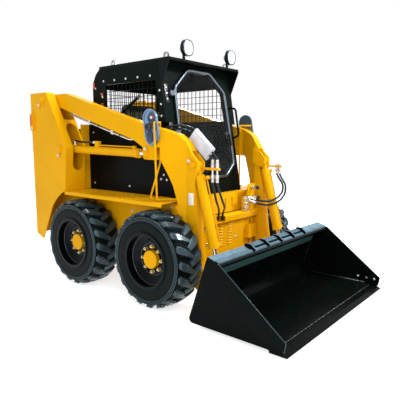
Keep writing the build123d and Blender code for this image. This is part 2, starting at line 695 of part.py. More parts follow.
def cab_roof():
    plan = outline((-CAB_HALF, -440), (CAB_HALF, -440), (CAB_HALF, ROOF_FRONT, 12),
                   (-CAB_HALF, ROOF_FRONT, 12))
    roof = upward(plan, CAB_TOP - ROOF_THICK, CAB_TOP)
    raised = outline((-300, -300, 30), (300, -300, 30), (300, 240, 30), (-300, 240, 30))
    roof += upward(raised, CAB_TOP, CAB_TOP + 16)
    under = CAB_TOP - ROOF_THICK
    cheek = outline((front_ahead(under) + 0.5, under), (ROOF_FRONT, under), (front_ahead(1740) + 0.5, 1740))
    roof += both(across(cheek, CAB_HALF - SHEET, CAB_HALF))
    for x, ahead in ((-400, -330), (400, -330), (-400, 330), (400, 330)):
        eye = across(outline((ahead - 35, CAB_TOP), (ahead + 35, CAB_TOP), (ahead + 22, CAB_TOP + 58, 20),
                             (ahead - 22, CAB_TOP + 58, 20)), x - 6, x + 6)
        eye -= rod_x((ahead, CAB_TOP + 32), EYE_HOLE_D, x - 10, x + 10)
        roof += eye
    save(roof, "cab_roof")


def window_guards():
    """Steel bar grilles that fill the side and rear openings."""
    half = GUARD_BAR / 2
    x_mid = CAB_HALF - CAB_WALL / 2
    pitch = 54.0
    rows = 5
    step = (WINDOW_HIGH - WINDOW_LOW) / rows
    bars = Part()
    for i in range(1, 13):
        ahead = WINDOW_BACK + pitch * i
        bars += block(x_mid - 3, x_mid + 3, ahead - half, ahead + half, WINDOW_LOW, WINDOW_HIGH)
    for i in range(1, rows):
        z = WINDOW_LOW + step * i
        bars += block(x_mid - 3, x_mid + 3, WINDOW_BACK, 400, z - half, z + half)
    guards = both(bars & across(side_window(SEAT), x_mid - 3, x_mid + 3))
    back_mid = CAB_REAR + CAB_WALL / 2
    rear = Part()
    for i in range(-6, 7):
        rear += block(pitch * i - half, pitch * i + half, back_mid - 3, back_mid + 3, WINDOW_LOW, WINDOW_HIGH)
    for i in range(1, rows):
        z = WINDOW_LOW + step * i
        rear += block(-400, 400, back_mid - 3, back_mid + 3, z - half, z + half)
    guards += rear & forward(rear_window(SEAT), back_mid - 3, back_mid + 3)
    save(guards, "window_guards")


def seat_box():
    """Box under the seat and a console on each side of it."""
    shell = block(-260, 260, -460, 40, CAB_FLOOR + RUN, 1120)
    console = outline((-440, CAB_FLOOR + RUN), (-440, 1230, 40), (60, 1200, 50), (150, CAB_FLOOR + RUN))
    shell += both(across(console, 290, 400))
    save(shell, "seat_box")


def seat():
    shape = outline((-440, 1120 + RUN, 12), (60, 1120 + RUN, 30), (60, 1215, 36), (-330, 1205, 20),
                    (-385, 1660, 36),
                    (-470, 1660, 36))
    save(across(shape, -235, 235), "seat")


def control_levers():
    """Two travel levers and two pedals in front of the seat."""
    line = [(140, CAB_FLOOR + SEAT), (140, 900), (150, 1180), (210, 1330)]
    stick = across(outline(*ribbon(line, -16)), LEVER_X - 8, LEVER_X + 8)
    stick += across(Pos(213, 1345) * Circle(22), LEVER_X - 18, LEVER_X + 18)
    pedal = outline((330, CAB_FLOOR + RUN), (350, CAB_FLOOR + RUN), (410, 930), (396, 936))
    stick += across(pedal, PEDAL_X - 45, PEDAL_X + 45)
    save(both(stick), "control_levers")


def work_lamps():
    """Two lamps with bulged backs on stalks at the front of the roof."""
    middle = CAB_TOP + LAMP_RISE
    lens_plane = Plane(origin=(0, row_y(480), 0), x_dir=(1, 0, 0), z_dir=(0, -1, 0))
    lamps = Part()
    for x in (-LAMP_X, LAMP_X):
        ring = Pos(x, middle) * RectangleRounded(LAMP_W, LAMP_H, 52)
        back = Pos(x, middle) * RectangleRounded(LAMP_W / 2, LAMP_H / 2, 26)
        lamps += forward(ring, 450, 480)
        lamps += loft([lens_plane.offset(-30) * ring, lens_plane.offset(-66) * back])
        lamps += block(x - 12, x + 12, 424, 436, CAB_TOP + SEAT, middle - LAMP_H / 4)
    save(lamps, "work_lamps")


def tail_lamps():
    shape = outline((-1166, 1400, 10), (-1120, 1400, 10), (-1120, 1560, 10), (-1166, 1560, 10))
    lamp = across(shape, TOWER_OUT + RUN, TOWER_OUT + 22)
    save(both(lamp), "tail_lamps")


def door_hinges():
    """Ears and pins on the sloping front for the door's two hinges."""
    parts = Part()
    for z in DOOR_HINGE_HEIGHTS:
        middle = up_front(z)
        for side in (-1, 1):
            ear = Pos(DOOR_HINGE_X, middle + side * 27) * Rectangle(20, 10)
            parts += on_front(ear, -2, DOOR_GAP + DOOR_TUBE - 2)
        pin = Pos(DOOR_HINGE_X, middle, DOOR_GAP + DOOR_TUBE / 2) * Rot(90, 0, 0)
        parts += FRONT_PLANE * pin * Cylinder(5, 62)
    return parts


def door_outline(grow):
    """Octagon with bent corners, grown or shrunk from the door opening."""
    shape = octagon(grow)
    return fillet(shape.vertices(), radius=DOOR_BEND + grow).face()


def cab_door():
    """Bent tube frame with a glass pane, hinged on the machine's right."""
    middle = DOOR_GAP + DOOR_TUBE / 2
    centre = 6 - DOOR_TUBE / 2
    path = (FRONT_PLANE.offset(middle) * door_outline(centre)).outer_wire()
    start = Plane(origin=path @ 0, z_dir=path % 0)
    body = sweep(start * Circle(DOOR_TUBE / 2), path=path)
    for z in DOOR_HINGE_HEIGHTS:
        s = up_front(z)
        reach = Pos((DOOR_HINGE_X - 345) / 2, s) * Rectangle(abs(DOOR_HINGE_X + 345), 40)
        body += on_front(reach, middle - 9, middle + 9)
        knuckle = Pos(DOOR_HINGE_X, s) * Rectangle(22, 40)
        body += on_front(knuckle, middle - 11, middle + 11)
        hole_plane = FRONT_PLANE * Pos(DOOR_HINGE_X, s, middle) * Rot(90, 0, 0)
        body -= hole_plane * Cylinder(5 + RUN, 120)
    save(body, "cab_door_frame")
    glass = door_outline(centre - DOOR_TUBE / 2 - RUN)
    save(on_front(glass, middle - 3, middle + 3), "cab_door_glass")


# ---------------------------------------------------------------- loader arms
def arm_plan():
    return outline((BEAM_IN, -1100), (BEAM_OUT, -1100), (BEAM_OUT, BEND_START), (LEG_OUT, BEND_END),
                   (LEG_OUT, 1000),
                   (LEG_IN, 1000), (LEG_IN, BEND_END), (BEAM_IN, BEND_START))


def arm_profile():
    pin_f, pin_z = BUCKET_PIN
    toe = 50.0
    return outline((-1040, 1737, 50), (-721, 1735), (27, 1519), (473, 1400), (590, 1356),
                   (647, 1304, 30), (710, 1205),
                   (766, 1150, 24), (768, 1084, 24), (738, 1010), (737, 933), (752, 726), (780, 489),
                   (812, 300),
                   (pin_f + 10, pin_z + toe + 14, 30), (pin_f + toe, pin_z + 20, 30),
                   (pin_f + toe - 4, pin_z - toe, 40),
                   (pin_f - 50, pin_z - toe + 8, 20), (700, 176, 20), (625, 647), (580, 865),
                   (560, 955), (535, 1020),
                   (475, 1156, 20), (300, 1160, 30), (300, 1258), (192, 1315), (21, 1366), (-511, 1518),
                   (-807, 1609),
                   (-1040, 1609, 50))


def arm_ear():
    """Inner ear that carries the tilt cylinder's head pin."""
    return outline((640, 1230), (712, 1206), (764, 1150, 24), (764, TILT_PIN[1] - 40, 24),
                   (700, TILT_PIN[1] - 50, 10),
                   (640, 1100))


def arm(sign):
    body = across(arm_profile(), LEG_IN, BEAM_OUT) & upward(arm_plan(), 0, 2000)
    lug = outline((250, 1100), (250, 1256), (470, 1256), (470, 1100))
    body -= across(lug, BEAM_IN + ARM_PLATE, BEAM_OUT - ARM_PLATE)
    eye_in = TILT_X - EYE_W / 2 - SIDE_PLAY
    eye_out = TILT_X + EYE_W / 2 + SIDE_PLAY
    neck_z = TILT_PIN[1] - TILT_NECK + 18
    head = outline((672, 1230), (900, 1230), (900, neck_z), (672, neck_z))
    body -= across(head, eye_in, eye_out)
    body += across(arm_ear(), LEG_IN - 12, eye_in)
    lean = (TILT_EYE[0] - TILT_PIN[0]) / (TILT_PIN[1] - TILT_EYE[1])
    back_top = TILT_PIN[0] + lean * TILT_NECK - TILT_TUBE_D / 2 - 8
    low_z = 780.0
    back_low = back_top + lean * (neck_z - low_z)
    recess = outline((back_top, neck_z), (900, neck_z), (900, low_z), (back_low, low_z))
    body -= across(recess, LEG_IN - 20, TILT_X + TILT_TUBE_D / 2 + 1)
    body -= rod_x(ARM_PIVOT, ARM_PIN_D + 2 * RUN, BEAM_IN - 10, BEAM_OUT + 10)
    body -= rod_x(BUCKET_PIN, PIN_D + 2 * RUN, LEG_IN - 10, LEG_OUT + 10)
    below = outline((560, 0), (900, 0), (900, 672), (735, 672), (716, 640, 40), (650, 632, 40), (600, 720))
    body -= across(below, LEG_OUT - DOUBLER, LEG_OUT + 10)
    body += rod_x(BUCKET_PIN, 84, LEG_OUT - DOUBLER, LEG_OUT) - rod_x(BUCKET_PIN, PIN_D + 2 * RUN, 0, 1000)
    body += rod_x(TILT_PIN, PIN_D, LEG_IN - 16, LEG_OUT + 12)
    body += rod_x(LIFT_EYE, 70, BEAM_OUT, BEAM_OUT + 10)
    body += rod_x(LIFT_EYE, 70, BEAM_IN - 10, BEAM_IN)
    return one_side(body, sign)


def right_hose_bracket():
    """Flat bar on the right arm's inner ear with holes for two pipes."""
    face = LEG_IN - 12
    bar_top = BRACKET_Z + BRACKET_THICK
    bracket = block(-face, -face + 36, 745, HOSE_AHEAD[1] + 22, BRACKET_Z, bar_top)
    for ahead in HOSE_AHEAD:
        bracket -= rod_z(-HOSE_SIDE, ahead, PIPE_D + 2 * RUN, BRACKET_Z - 1, bar_top + 1)
    return bracket


def left_hose_bracket():
    """Flat bar on the left gooseneck's outer plate with holes for two pipes."""
    bar_top = FAR_BRACKET_Z + BRACKET_THICK
    bracket = block(LEG_OUT, LEG_OUT + 30, 690, FAR_HOSE_AHEAD[1] + 20, FAR_BRACKET_Z, bar_top)
    for ahead in FAR_HOSE_AHEAD:
        bracket -= rod_z(FAR_HOSE_SIDE, ahead, PIPE_D + 2 * RUN, FAR_BRACKET_Z - 1, bar_top + 1)
    return bracket


def arms():
    save(arm(1) + left_hose_bracket(), "arm_left")
    save(arm(-1) + right_hose_bracket(), "arm_right")
    arm_cross_tube()


def arm_cross_tube():
    """Folded box section between the legs, notched for the hoses, with the quick couplers' plate."""
    end = LEG_IN - RUN
    section = outline((CROSS_REAR, CROSS_LOW + 4), (CROSS_FRONT - 4, CROSS_LOW, 10),
                      (CROSS_FRONT, CROSS_TOP - 8, 10),
                      (CROSS_REAR, CROSS_TOP, 10))
    body = across(section, -end, end) - across(offset(section, amount=-CROSS_WALL), -end - 1, end + 1)
    notch_low, notch_high = CROSS_NOTCH
    body -= block(notch_low, notch_high, CROSS_FRONT - 40, CROSS_FRONT + 10, CROSS_LOW + 14, CROSS_TOP + 20)
    plate_low, plate_high = COUPLER_PLATE_X
    plate_face = outline((plate_low, CROSS_TOP - 4), (plate_high, CROSS_TOP - 4),
                         (plate_high, COUPLER_TOP, 14),
                         (plate_low, COUPLER_TOP, 14))
    back = CROSS_FRONT - 24
    body += forward(plate_face, back, back + 8)
    gusset = outline((CROSS_REAR + 8, CROSS_TOP - 4), (back + 2, CROSS_TOP - 4),
                     (back + 2, COUPLER_TOP - 30))
    body += across(gusset, plate_low, plate_low + 8)
    for x, z in QUICK_COUPLERS:
        body -= forward(Pos(x, z) * Circle(12 + RUN), back - 5, back + 20)
    save(body, "arm_cross_tube")


# ---------------------------------------------------------------- hoses
def sleeve():
    """Flat corrugated cover round the two hoses where they turn down over the right gooseneck."""
    x = -HOSE_SIDE - (34 / 2 - SLEEVE_WALL - HOSE_D / 2 - SEAT)
    top = place((x, 716, 1310))
    foot = place((x, 800, 1210))
    plane = Plane(origin=top, x_dir=(1, 0, 0), z_dir=foot - top)
    outer = plane * Rot(0, 0, 90) * SlotOverall(78, 34)
    inner = plane * Rot(0, 0, 90) * SlotOverall(78 - 2 * SLEEVE_WALL, 34 - 2 * SLEEVE_WALL)
    return extrude(outer - inner, amount=(foot - top).length)


def right_hose_routes():
    """Two hoses over the right gooseneck and two from the bracket into the cross tube."""
    low = BRACKET_Z - 62
    high = BRACKET_Z + BRACKET_THICK + 30
    rear, front = HOSE_AHEAD
    side = -HOSE_SIDE
    return (
        ((-526, 252, 1352), (-526, 388, 1366), (-492, 505, 1404), (-424, 600, 1390), (side, 700, 1304),
         (side, 786, 1204), (side, rear, high + 34), (side, rear, high)),
        ((-526, 252, 1378), (-526, 392, 1392.5), (-492, 520, 1434), (-424, 632, 1412), (side, 734, 1324),
         (side, 826, 1212), (side, front, high + 34), (side, front, high)),
        ((side, rear, low), (side, rear, low - 46), (-400, 836, 906), (-338, 808, 822), (-245, 758, 760),
         (-172, 706, 712), (-160, 686, 640)),
        ((side, front, low), (side, front, low - 44), (-394, 882, 910), (-318, 856, 824), (-205, 790, 762),
         (-122, 714, 714), (-110, 688, 640)),
    )


def left_hose_routes():
    """Double loop from the quick couplers' manifold round the left tilt cylinder."""
    high = FAR_BRACKET_Z - 24
    rear, front = FAR_HOSE_AHEAD
    side = FAR_HOSE_SIDE
    return (
        ((306, 722, 752), (352, 752, 730), (396, 830, 718), (446, 920, 752), (506, 950, 826),
        (541, 930, 906),
         (541, 886, 962), (side, front, high - 34), (side, front, high)),
        ((306, 720, 780), (362, 757, 758), (412, 836, 752), (462, 898, 786), (514, 920, 846),
        (541, 900, 910),
         (541, 860, 956), (side, rear, high - 34), (side, rear, high)),
    )


def arm_hoses():
    """Hoses that the loader arms hold at both ends."""
    hoses = sleeve()
    for route in right_hose_routes() + left_hose_routes():
        hoses += tube(route, HOSE_D)
    save(hoses, "arm_hoses")


def beam_pipes():
    """Steel pipes under the right beam that turn in to the hoses, with their clamps and end nuts."""
    routes = (
        ((-600, -700, 1548), (-600, -500, 1489), (-600, 20, 1342), (-572, 96, 1316), (-526, 160, 1342.5),
         (-526, 252 - SEAT, 1352)),
        ((-624, -700, 1548), (-624, -500, 1489), (-624, 28, 1340), (-582, 112, 1305), (-526, 178, 1370.5),
         (-526, 252 - SEAT, 1378)),
    )
    parts = Part()
    for route in routes:
        parts += tube(route, PIPE_D)
        x, ahead, z = route[-1]
        parts += stub((x, ahead - 26, z - 2.7), (x, ahead, z), FITTING_D - 4)
    for middle in (-400, -90):
        edge = [1366 - 0.2857 * (middle + step - 21) - SEAT for step in (-14, 14)]
        clamp = outline((middle - 14, edge[0]), (middle + 14, edge[1]), (middle + 14, edge[1] - 36),
                        (middle - 14, edge[0] - 36))
        parts += across(clamp, -638, -586)
    return parts


def hose_fittings():
    """Pipes, hose ends, manifold and quick couplers that the loader arms carry."""
    parts = beam_pipes()
    low = BRACKET_Z - 62 + SEAT
    top = BRACKET_Z + BRACKET_THICK
    for ahead in HOSE_AHEAD:
        parts += rod_z(-HOSE_SIDE, ahead, PIPE_D, low, top + 30 - SEAT)
        parts += rod_z(-HOSE_SIDE, ahead, FITTING_D, low, low + 26)
        parts += rod_z(-HOSE_SIDE, ahead, FITTING_D, top + SEAT, top + 30 - SEAT)
    low = FAR_BRACKET_Z - 24 + SEAT
    top = FAR_BRACKET_Z + BRACKET_THICK
    for ahead in FAR_HOSE_AHEAD:
        parts += rod_z(FAR_HOSE_SIDE, ahead, PIPE_D, low, top + 10)
        parts += rod_z(FAR_HOSE_SIDE, ahead, FITTING_D, low, FAR_BRACKET_Z - SEAT)
        parts += rod_z(FAR_HOSE_SIDE, ahead, FITTING_D, top + SEAT, top + 14)
    parts += block(206, 272, 672, 704, CROSS_TOP + SEAT, CROSS_TOP + 126)
    for route in left_hose_routes():
        start = place(route[0])
        lead = (place(route[1]) - start).normalized()
        plane = Plane(origin=start - lead * 46, z_dir=lead)
        parts += extrude(plane * Circle(FITTING_D / 2 - 3), amount=46 - SEAT)
    back = CROSS_FRONT - 24
    for x, z in QUICK_COUPLERS:
        parts += rod_y(x, z, 24, back - 22, back + 62)
        parts += rod_y(x, z, 34, back + 8 + SEAT, back + 40)
        parts += rod_y(x, z, 30, back + 48, back + 70)
        parts += rod_y(x, z, 34, back - 18, back - SEAT)
    save(parts, "hose_fittings")


def lock_plates():
    """Dished obround plates on the beams' outer faces, with a knob and a hole for the prop."""
    shape = Pos(410, 1412) * Rot(0, 0, 100) * SlotOverall(285, 150)
    inner = Pos(410, 1412) * Rot(0, 0, 100) * SlotOverall(265, 130)
    plate = across(shape, BEAM_OUT + RUN, BEAM_OUT + 8)
    plate += across(shape - inner, BEAM_OUT + 8, BEAM_OUT + 16)
    plate += rod_x((412, 1412), 60, BEAM_OUT + 8, BEAM_OUT + 34)
    plate -= rod_x((462, PROP_Z), PROP_D + 2 * RUN, BEAM_OUT, BEAM_OUT + 20)
    save(both(plate), "lock_plates")


def cylinder_frame(start, end):
    """Unit direction and length of a cylinder from one pin to the other, as (ahead, up)."""
    run = (end[0] - start[0], end[1] - start[1])
    length = hypot(*run)
    return (run[0] / length, run[1] / length), length


def along(start, direction, distance):
    return (start[0] + direction[0] * distance, start[1] + direction[1] * distance)


def bar(x, start, end, diameter):
    """Round bar in the plane X = x between two (ahead, up) points."""
    a = Vector(x, row_y(start[0]), start[1])
    b = Vector(x, row_y(end[0]), end[1])
    plane = Plane(origin=a, z_dir=b - a)
    return extrude(plane * Circle(diameter / 2), amount=(b - a).length)


def hydraulic_cylinder(x, start, end, tube_d, rod_d, neck, tube_end, head_r, eye_r, pin_d, retract):
    """Barrel with its head eye at start, and rod with its eye at end."""
    direction, length = cylinder_frame(start, end)
    tube_start = along(start, direction, neck)
    tube_stop = along(start, direction, tube_end)
    barrel = bar(x, tube_start, tube_stop, tube_d)
    barrel += bar(x, start, tube_start, EYE_W)
    barrel += bar(x, along(start, direction, tube_end - 46), along(start, direction, tube_end), tube_d + 8)
    barrel += rod_x(start, 2 * head_r, x - EYE_W / 2, x + EYE_W / 2)
    bore_from = neck + 20
    bore_stop = along(start, direction, tube_end + 1)
    barrel -= bar(x, along(start, direction, bore_from), bore_stop, rod_d + 2 * RUN)
    barrel -= rod_x(start, pin_d + 2 * RUN, x - EYE_W, x + EYE_W)
    rod_from = along(start, direction, bore_from + retract + 10)
    rod = bar(x, rod_from, along(start, direction, length - eye_r + 4), rod_d)
    rod += rod_x(end, 2 * eye_r, x - EYE_W / 2, x + EYE_W / 2)
    return barrel, rod


def cylinder_plane(x, start, direction, distance):
    """Cross-section of a cylinder: local X to the left, local Y ahead, local Z along it."""
    f, z = along(start, direction, distance)
    return Plane(origin=(x, row_y(f), z), x_dir=(1, 0, 0), z_dir=(0, -direction[0], direction[1]))


def lift_piping(direction):
    """Port blocks and the pipe along the top of a lift cylinder's barrel."""
    port = along(LIFT_PIN, direction, 380)
    gland = along(LIFT_PIN, direction, LIFT_TUBE_END - 60)
    rise = 48.0
    parts = bar(LIFT_X, (port[0], port[1] + rise), (gland[0], gland[1] + rise), 12)
    parts += block(LIFT_X - 16, LIFT_X + 16, port[0] - 20, port[0] + 30, port[1] + 30, port[1] + 84)
    parts += block(LIFT_X - 12, LIFT_X + 12, gland[0] - 14, gland[0] + 14, gland[1] + 30, gland[1] + 58)
    foot = along(LIFT_PIN, direction, 44)
    parts += rod_z(LIFT_X, foot[0], FITTING_D, foot[1] + LIFT_TUBE_D / 2 - 8, foot[1] + LIFT_BOSS)
    return parts


def tilt_piping(x, direction):
    """Port blocks and the pipe along the left side of a tilt cylinder's barrel."""
    head = cylinder_plane(x, TILT_PIN, direction, TILT_NECK + 14)
    gland = cylinder_plane(x, TILT_PIN, direction, TILT_TUBE_END - 24)
    side = 62.0
    ahead = 14.0
    inner = TILT_ROD_D / 2 + 6
    width = side + 10 - inner
    length = TILT_TUBE_END - TILT_NECK - 38
    parts = head * Pos(inner + width / 2, ahead + 7, 14) * Box(width, 26, 28)
    parts += gland * Pos(inner + width / 2, ahead - 4, 0) * Box(width, 22, 24)
    parts += head * Pos(side, ahead, length / 2) * Cylinder(6, length)
    return parts


def cylinders():
    barrel, rod = hydraulic_cylinder(LIFT_X, LIFT_PIN, LIFT_EYE, LIFT_TUBE_D, LIFT_ROD_D, LIFT_NECK,
                                     LIFT_TUBE_END, 38.0, LIFT_EYE_R, LIFT_PIN_D, 0)
    direction, length = cylinder_frame(LIFT_PIN, LIFT_EYE)
    barrel += lift_piping(direction)
    save(both(barrel), "lift_barrels")
    save(both(rod), "lift_rods")
    port = along(LIFT_PIN, direction, 380)
    foot = along(LIFT_PIN, direction, 44)
    hose_z = port[1] + 72
    foot_z = foot[1] + LIFT_BOSS + SEAT
    route = ((LIFT_X, port[0] - 20 - SEAT, hose_z), (LIFT_X, port[0] - 130, hose_z),
             (LIFT_X, foot[0] + 60, hose_z + 6), (LIFT_X, foot[0], foot_z + 40), (LIFT_X, foot[0], foot_z))
    save(both(tube(route, HOSE_D)), "lift_hoses")
    barrel, rod = hydraulic_cylinder(TILT_X, TILT_PIN, TILT_EYE, TILT_TUBE_D, TILT_ROD_D, TILT_NECK,
                                     TILT_TUBE_END, 36.0, TILT_EYE_R, PIN_D, TILT_RETRACT)
    direction, length = cylinder_frame(TILT_PIN, TILT_EYE)
    pair = barrel + tilt_piping(TILT_X, direction)
    pair += mirror(barrel, about=Plane.YZ) + tilt_piping(-TILT_X, direction)
    save(pair, "tilt_barrels")
    save(both(rod), "tilt_rods")


def prop_rods():
    """Bent bars that hang from the lock plates, one leg each side of the beam, feet just over the boards."""
    foot = BOARD_TOP + 5 + PROP_D / 2
    route = ((677, 508, foot), (677, 483, foot), (677, 462, PROP_Z), (610, 462, PROP_Z), (556, 405, PROP_Z),
             (556, 402, 1130), (625, 355, foot), (625, 380, foot))
    points = [Vector(x, row_y(ahead), z) for x, ahead, z in route]
    path = FilletPolyline(*points, radius=PROP_D * 0.6)
    start = Plane(origin=path @ 0, z_dir=path % 0)
    bars = sweep(start * Circle(PROP_D / 2), path=path)
    save(both(bars), "prop_rods")


# ---------------------------------------------------------------- bucket
def bucket():
    half = BUCKET_W / 2
    floor_front = (EDGE_START + 30, 28.0)
    side = outline((HEEL[0], HEEL[1], 30), BACK_TOP, TOP_FRONT, SIDE_NOSE, (1711, 36), (EDGE_START, 30))
    shell = both(across(side, half - SIDE_PLATE, half))
    skin = ribbon([floor_front, HEEL, BACK_TOP], -BUCKET_SHEET)
    inner = half - SIDE_PLATE
    wrap = outline(*[(p[0], p[1], 90 if i == 4 else (98 if i == 1 else 0)) for i, p in enumerate(skin)])
    shell += across(wrap, -inner, inner)
    lip_line = ribbon([BACK_TOP, (TOP_FRONT[0] - 20, TOP_FRONT[1] + 8)], -BUCKET_SHEET)
    shell += across(outline(*lip_line), -inner, inner)
    shell += rod_x((TOP_FRONT[0] - 30, TOP_FRONT[1] - 14), LIP_TUBE_D, -inner, inner)
    shell += bucket_step()
    save(shell, "bucket_shell")
    edge = outline((EDGE_START, 12), (LIP_AHEAD, 12), (LIP_AHEAD - 40, 12 + EDGE_THICK),
                   (EDGE_START, 12 + EDGE_THICK))
    save(across(edge, -half, half), "cutting_edge")


def bucket_step():
    """Serrated treads between notched ribs along the middle of the bucket's top."""
    top = BACK_TOP[1]
    rib = outline((BACK_TOP[0] + 4, top - 4), (TOP_FRONT[0] - 6, TOP_FRONT[1] - 4),
                  (TOP_FRONT[0] + 8, TOP_FRONT[1] + 22),
                  (BACK_TOP[0] + 62, top + 20, 6), (BACK_TOP[0] + 10, top + 22, 6))
    tread = outline((BACK_TOP[0] + 12, top - 9), (BACK_TOP[0] + 58, top - 24), (BACK_TOP[0] + 61, top - 2),
                    (BACK_TOP[0] + 16, top + 14))
    groove = outline((BACK_TOP[0] + 12, top + 6), (BACK_TOP[0] + 66, top - 11),
                     (BACK_TOP[0] + 66, top + 20),
                     (BACK_TOP[0] + 12, top + 30))
    parts = Part()
    for x in STEP_RIBS:
        parts += across(rib, x - 6, x + 6)
    for i in range(len(STEP_RIBS) - 1):
        low = STEP_RIBS[i] + 18
        high = STEP_RIBS[i + 1] - 18
        bar_part = across(tread, low, high)
        pitch = (high - low) / STEP_TEETH
        for j in range(STEP_TEETH):
            middle = low + pitch * (j + 0.5)
            bar_part -= across(groove, middle - pitch / 6, middle + pitch / 6)
        parts += bar_part
    return parts


def coupler_frame():
    """Quick coupler: two pairs of ears on a frame that lies on the bucket's back."""
    rise = (BACK_TOP[0] - HEEL[0], BACK_TOP[1] - HEEL[1])
    length = hypot(*rise)
    unit = (rise[0] / length, rise[1] / length)
    behind = (-unit[1], unit[0])

    def back(up, out):
        return (HEEL[0] + unit[0] * up + behind[0] * out, HEEL[1] + unit[1] * up + behind[1] * out)

    plate = outline(back(60, SEAT), back(length - 30, SEAT), back(length - 30, COUPLER_PLATE),
                    back(60, COUPLER_PLATE))
    body = across(plate, -600, 600)
    hole = outline(back(150, -5), back(length - 120, -5), back(length - 120, 30), back(150, 30))
    body -= across(hole, -380, 380)
    pocket = outline(back(230, -5), back(length, -5), back(length, 30), back(230, 30))
    body -= both(across(pocket, LEG_IN - 4, LEG_OUT + 4))
    relief = outline(back(410, -5), back(length, -5), back(length, 30), back(410, 30))
    body -= both(across(relief, LEG_IN - 22, LEG_OUT + 22))
    pin_f, pin_z = BUCKET_PIN
    ear = outline((pin_f - 40, pin_z - 38, 30), back(60, COUPLER_PLATE), back(400, COUPLER_PLATE),
                  (TILT_EYE[0] - 20, TILT_EYE[1] + 44, 20), (TILT_EYE[0] - 42, TILT_EYE[1] + 8, 20),
                  (pin_f - 44, pin_z + 26, 20))
    for low in (LEG_IN - 4 - 12, LEG_OUT + 4):
        body += both(across(ear, low, low + 12))
    body += both(rod_x(BUCKET_PIN, PIN_D, LEG_IN - 16, LEG_OUT + 16))
    save(body, "coupler_frame")


def build():
    wheels()
    axle_housings()
    chassis()
    front_panel()
    running_boards()
    towers()
    body_side_panels()
    engine()
    rear_bumper()
    engine_hood()
    rear_door()
    cab_frame()
    cab_roof()
    window_guards()
    seat_box()
    seat()
    control_levers()
    work_lamps()
    tail_lamps()
    cab_door()
    arms()
    lock_plates()
    prop_rods()
    cylinders()
    arm_hoses()
    hose_fittings()
    bucket()
    coupler_frame()


build()
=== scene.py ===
import math

import bmesh
import bpy
from mathutils import Matrix, Vector

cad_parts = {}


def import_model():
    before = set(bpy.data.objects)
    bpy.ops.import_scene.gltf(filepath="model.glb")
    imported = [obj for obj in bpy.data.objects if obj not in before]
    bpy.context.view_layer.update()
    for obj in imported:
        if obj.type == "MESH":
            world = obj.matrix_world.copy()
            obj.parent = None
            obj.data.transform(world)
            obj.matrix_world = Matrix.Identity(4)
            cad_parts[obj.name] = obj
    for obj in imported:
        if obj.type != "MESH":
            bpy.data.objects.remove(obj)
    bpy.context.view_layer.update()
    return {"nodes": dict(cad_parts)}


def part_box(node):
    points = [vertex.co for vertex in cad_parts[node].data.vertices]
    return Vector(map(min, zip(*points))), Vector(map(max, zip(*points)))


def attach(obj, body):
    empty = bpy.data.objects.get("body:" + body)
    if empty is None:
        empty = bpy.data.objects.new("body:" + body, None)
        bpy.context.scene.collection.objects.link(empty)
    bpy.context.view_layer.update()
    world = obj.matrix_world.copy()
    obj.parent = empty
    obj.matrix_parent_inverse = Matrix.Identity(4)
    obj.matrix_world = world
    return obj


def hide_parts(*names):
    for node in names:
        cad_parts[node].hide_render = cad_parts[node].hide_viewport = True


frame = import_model()
NODES = frame["nodes"]

FOOT = 0.2435                      # row Y of the point the "ahead" distances are measured from
SIDES = (("left", 1), ("right", -1))
AXLES = (("front", 0.477), ("rear", -0.477))
WHEEL_X = 0.683                    # middle of a wheel
WALL_X = 0.538                     # outer face of the lower frame's side walls
STUD_CIRCLE = 0.1015               # radius of the wheel studs' circle
FLANGE_CIRCLE = 0.091              # radius of the axle flange bolts' circle
FRONT = (0, -1, 0)
REAR = (0, 1, 0)
UP = (0, 0, 1)


def at(x, ahead, z):
    return Vector((x, FOOT - ahead, z))


# ---- materials
def feed(tree, socket, value):
    """Links a socket to another's output, or sets it to a colour or a number."""
    if hasattr(value, "is_linked"):
        tree.links.new(value, socket)
    elif isinstance(value, tuple):
        socket.default_value = (*value, 1)
    else:
        socket.default_value = value


def node(tree, kind, **inputs):
    """New node with its inputs fed by name; an underscore stands for a space."""
    made = tree.nodes.new("ShaderNode" + kind)
    for name, value in inputs.items():
        feed(tree, made.inputs[name.replace("_", " ")], value)
    return made


def combine(tree, operation, first, second):
    """Output of a maths node."""
    made = node(tree, "Math")
    made.operation = operation
    feed(tree, made.inputs[0], first)
    feed(tree, made.inputs[1], second)
    return made.outputs[0]


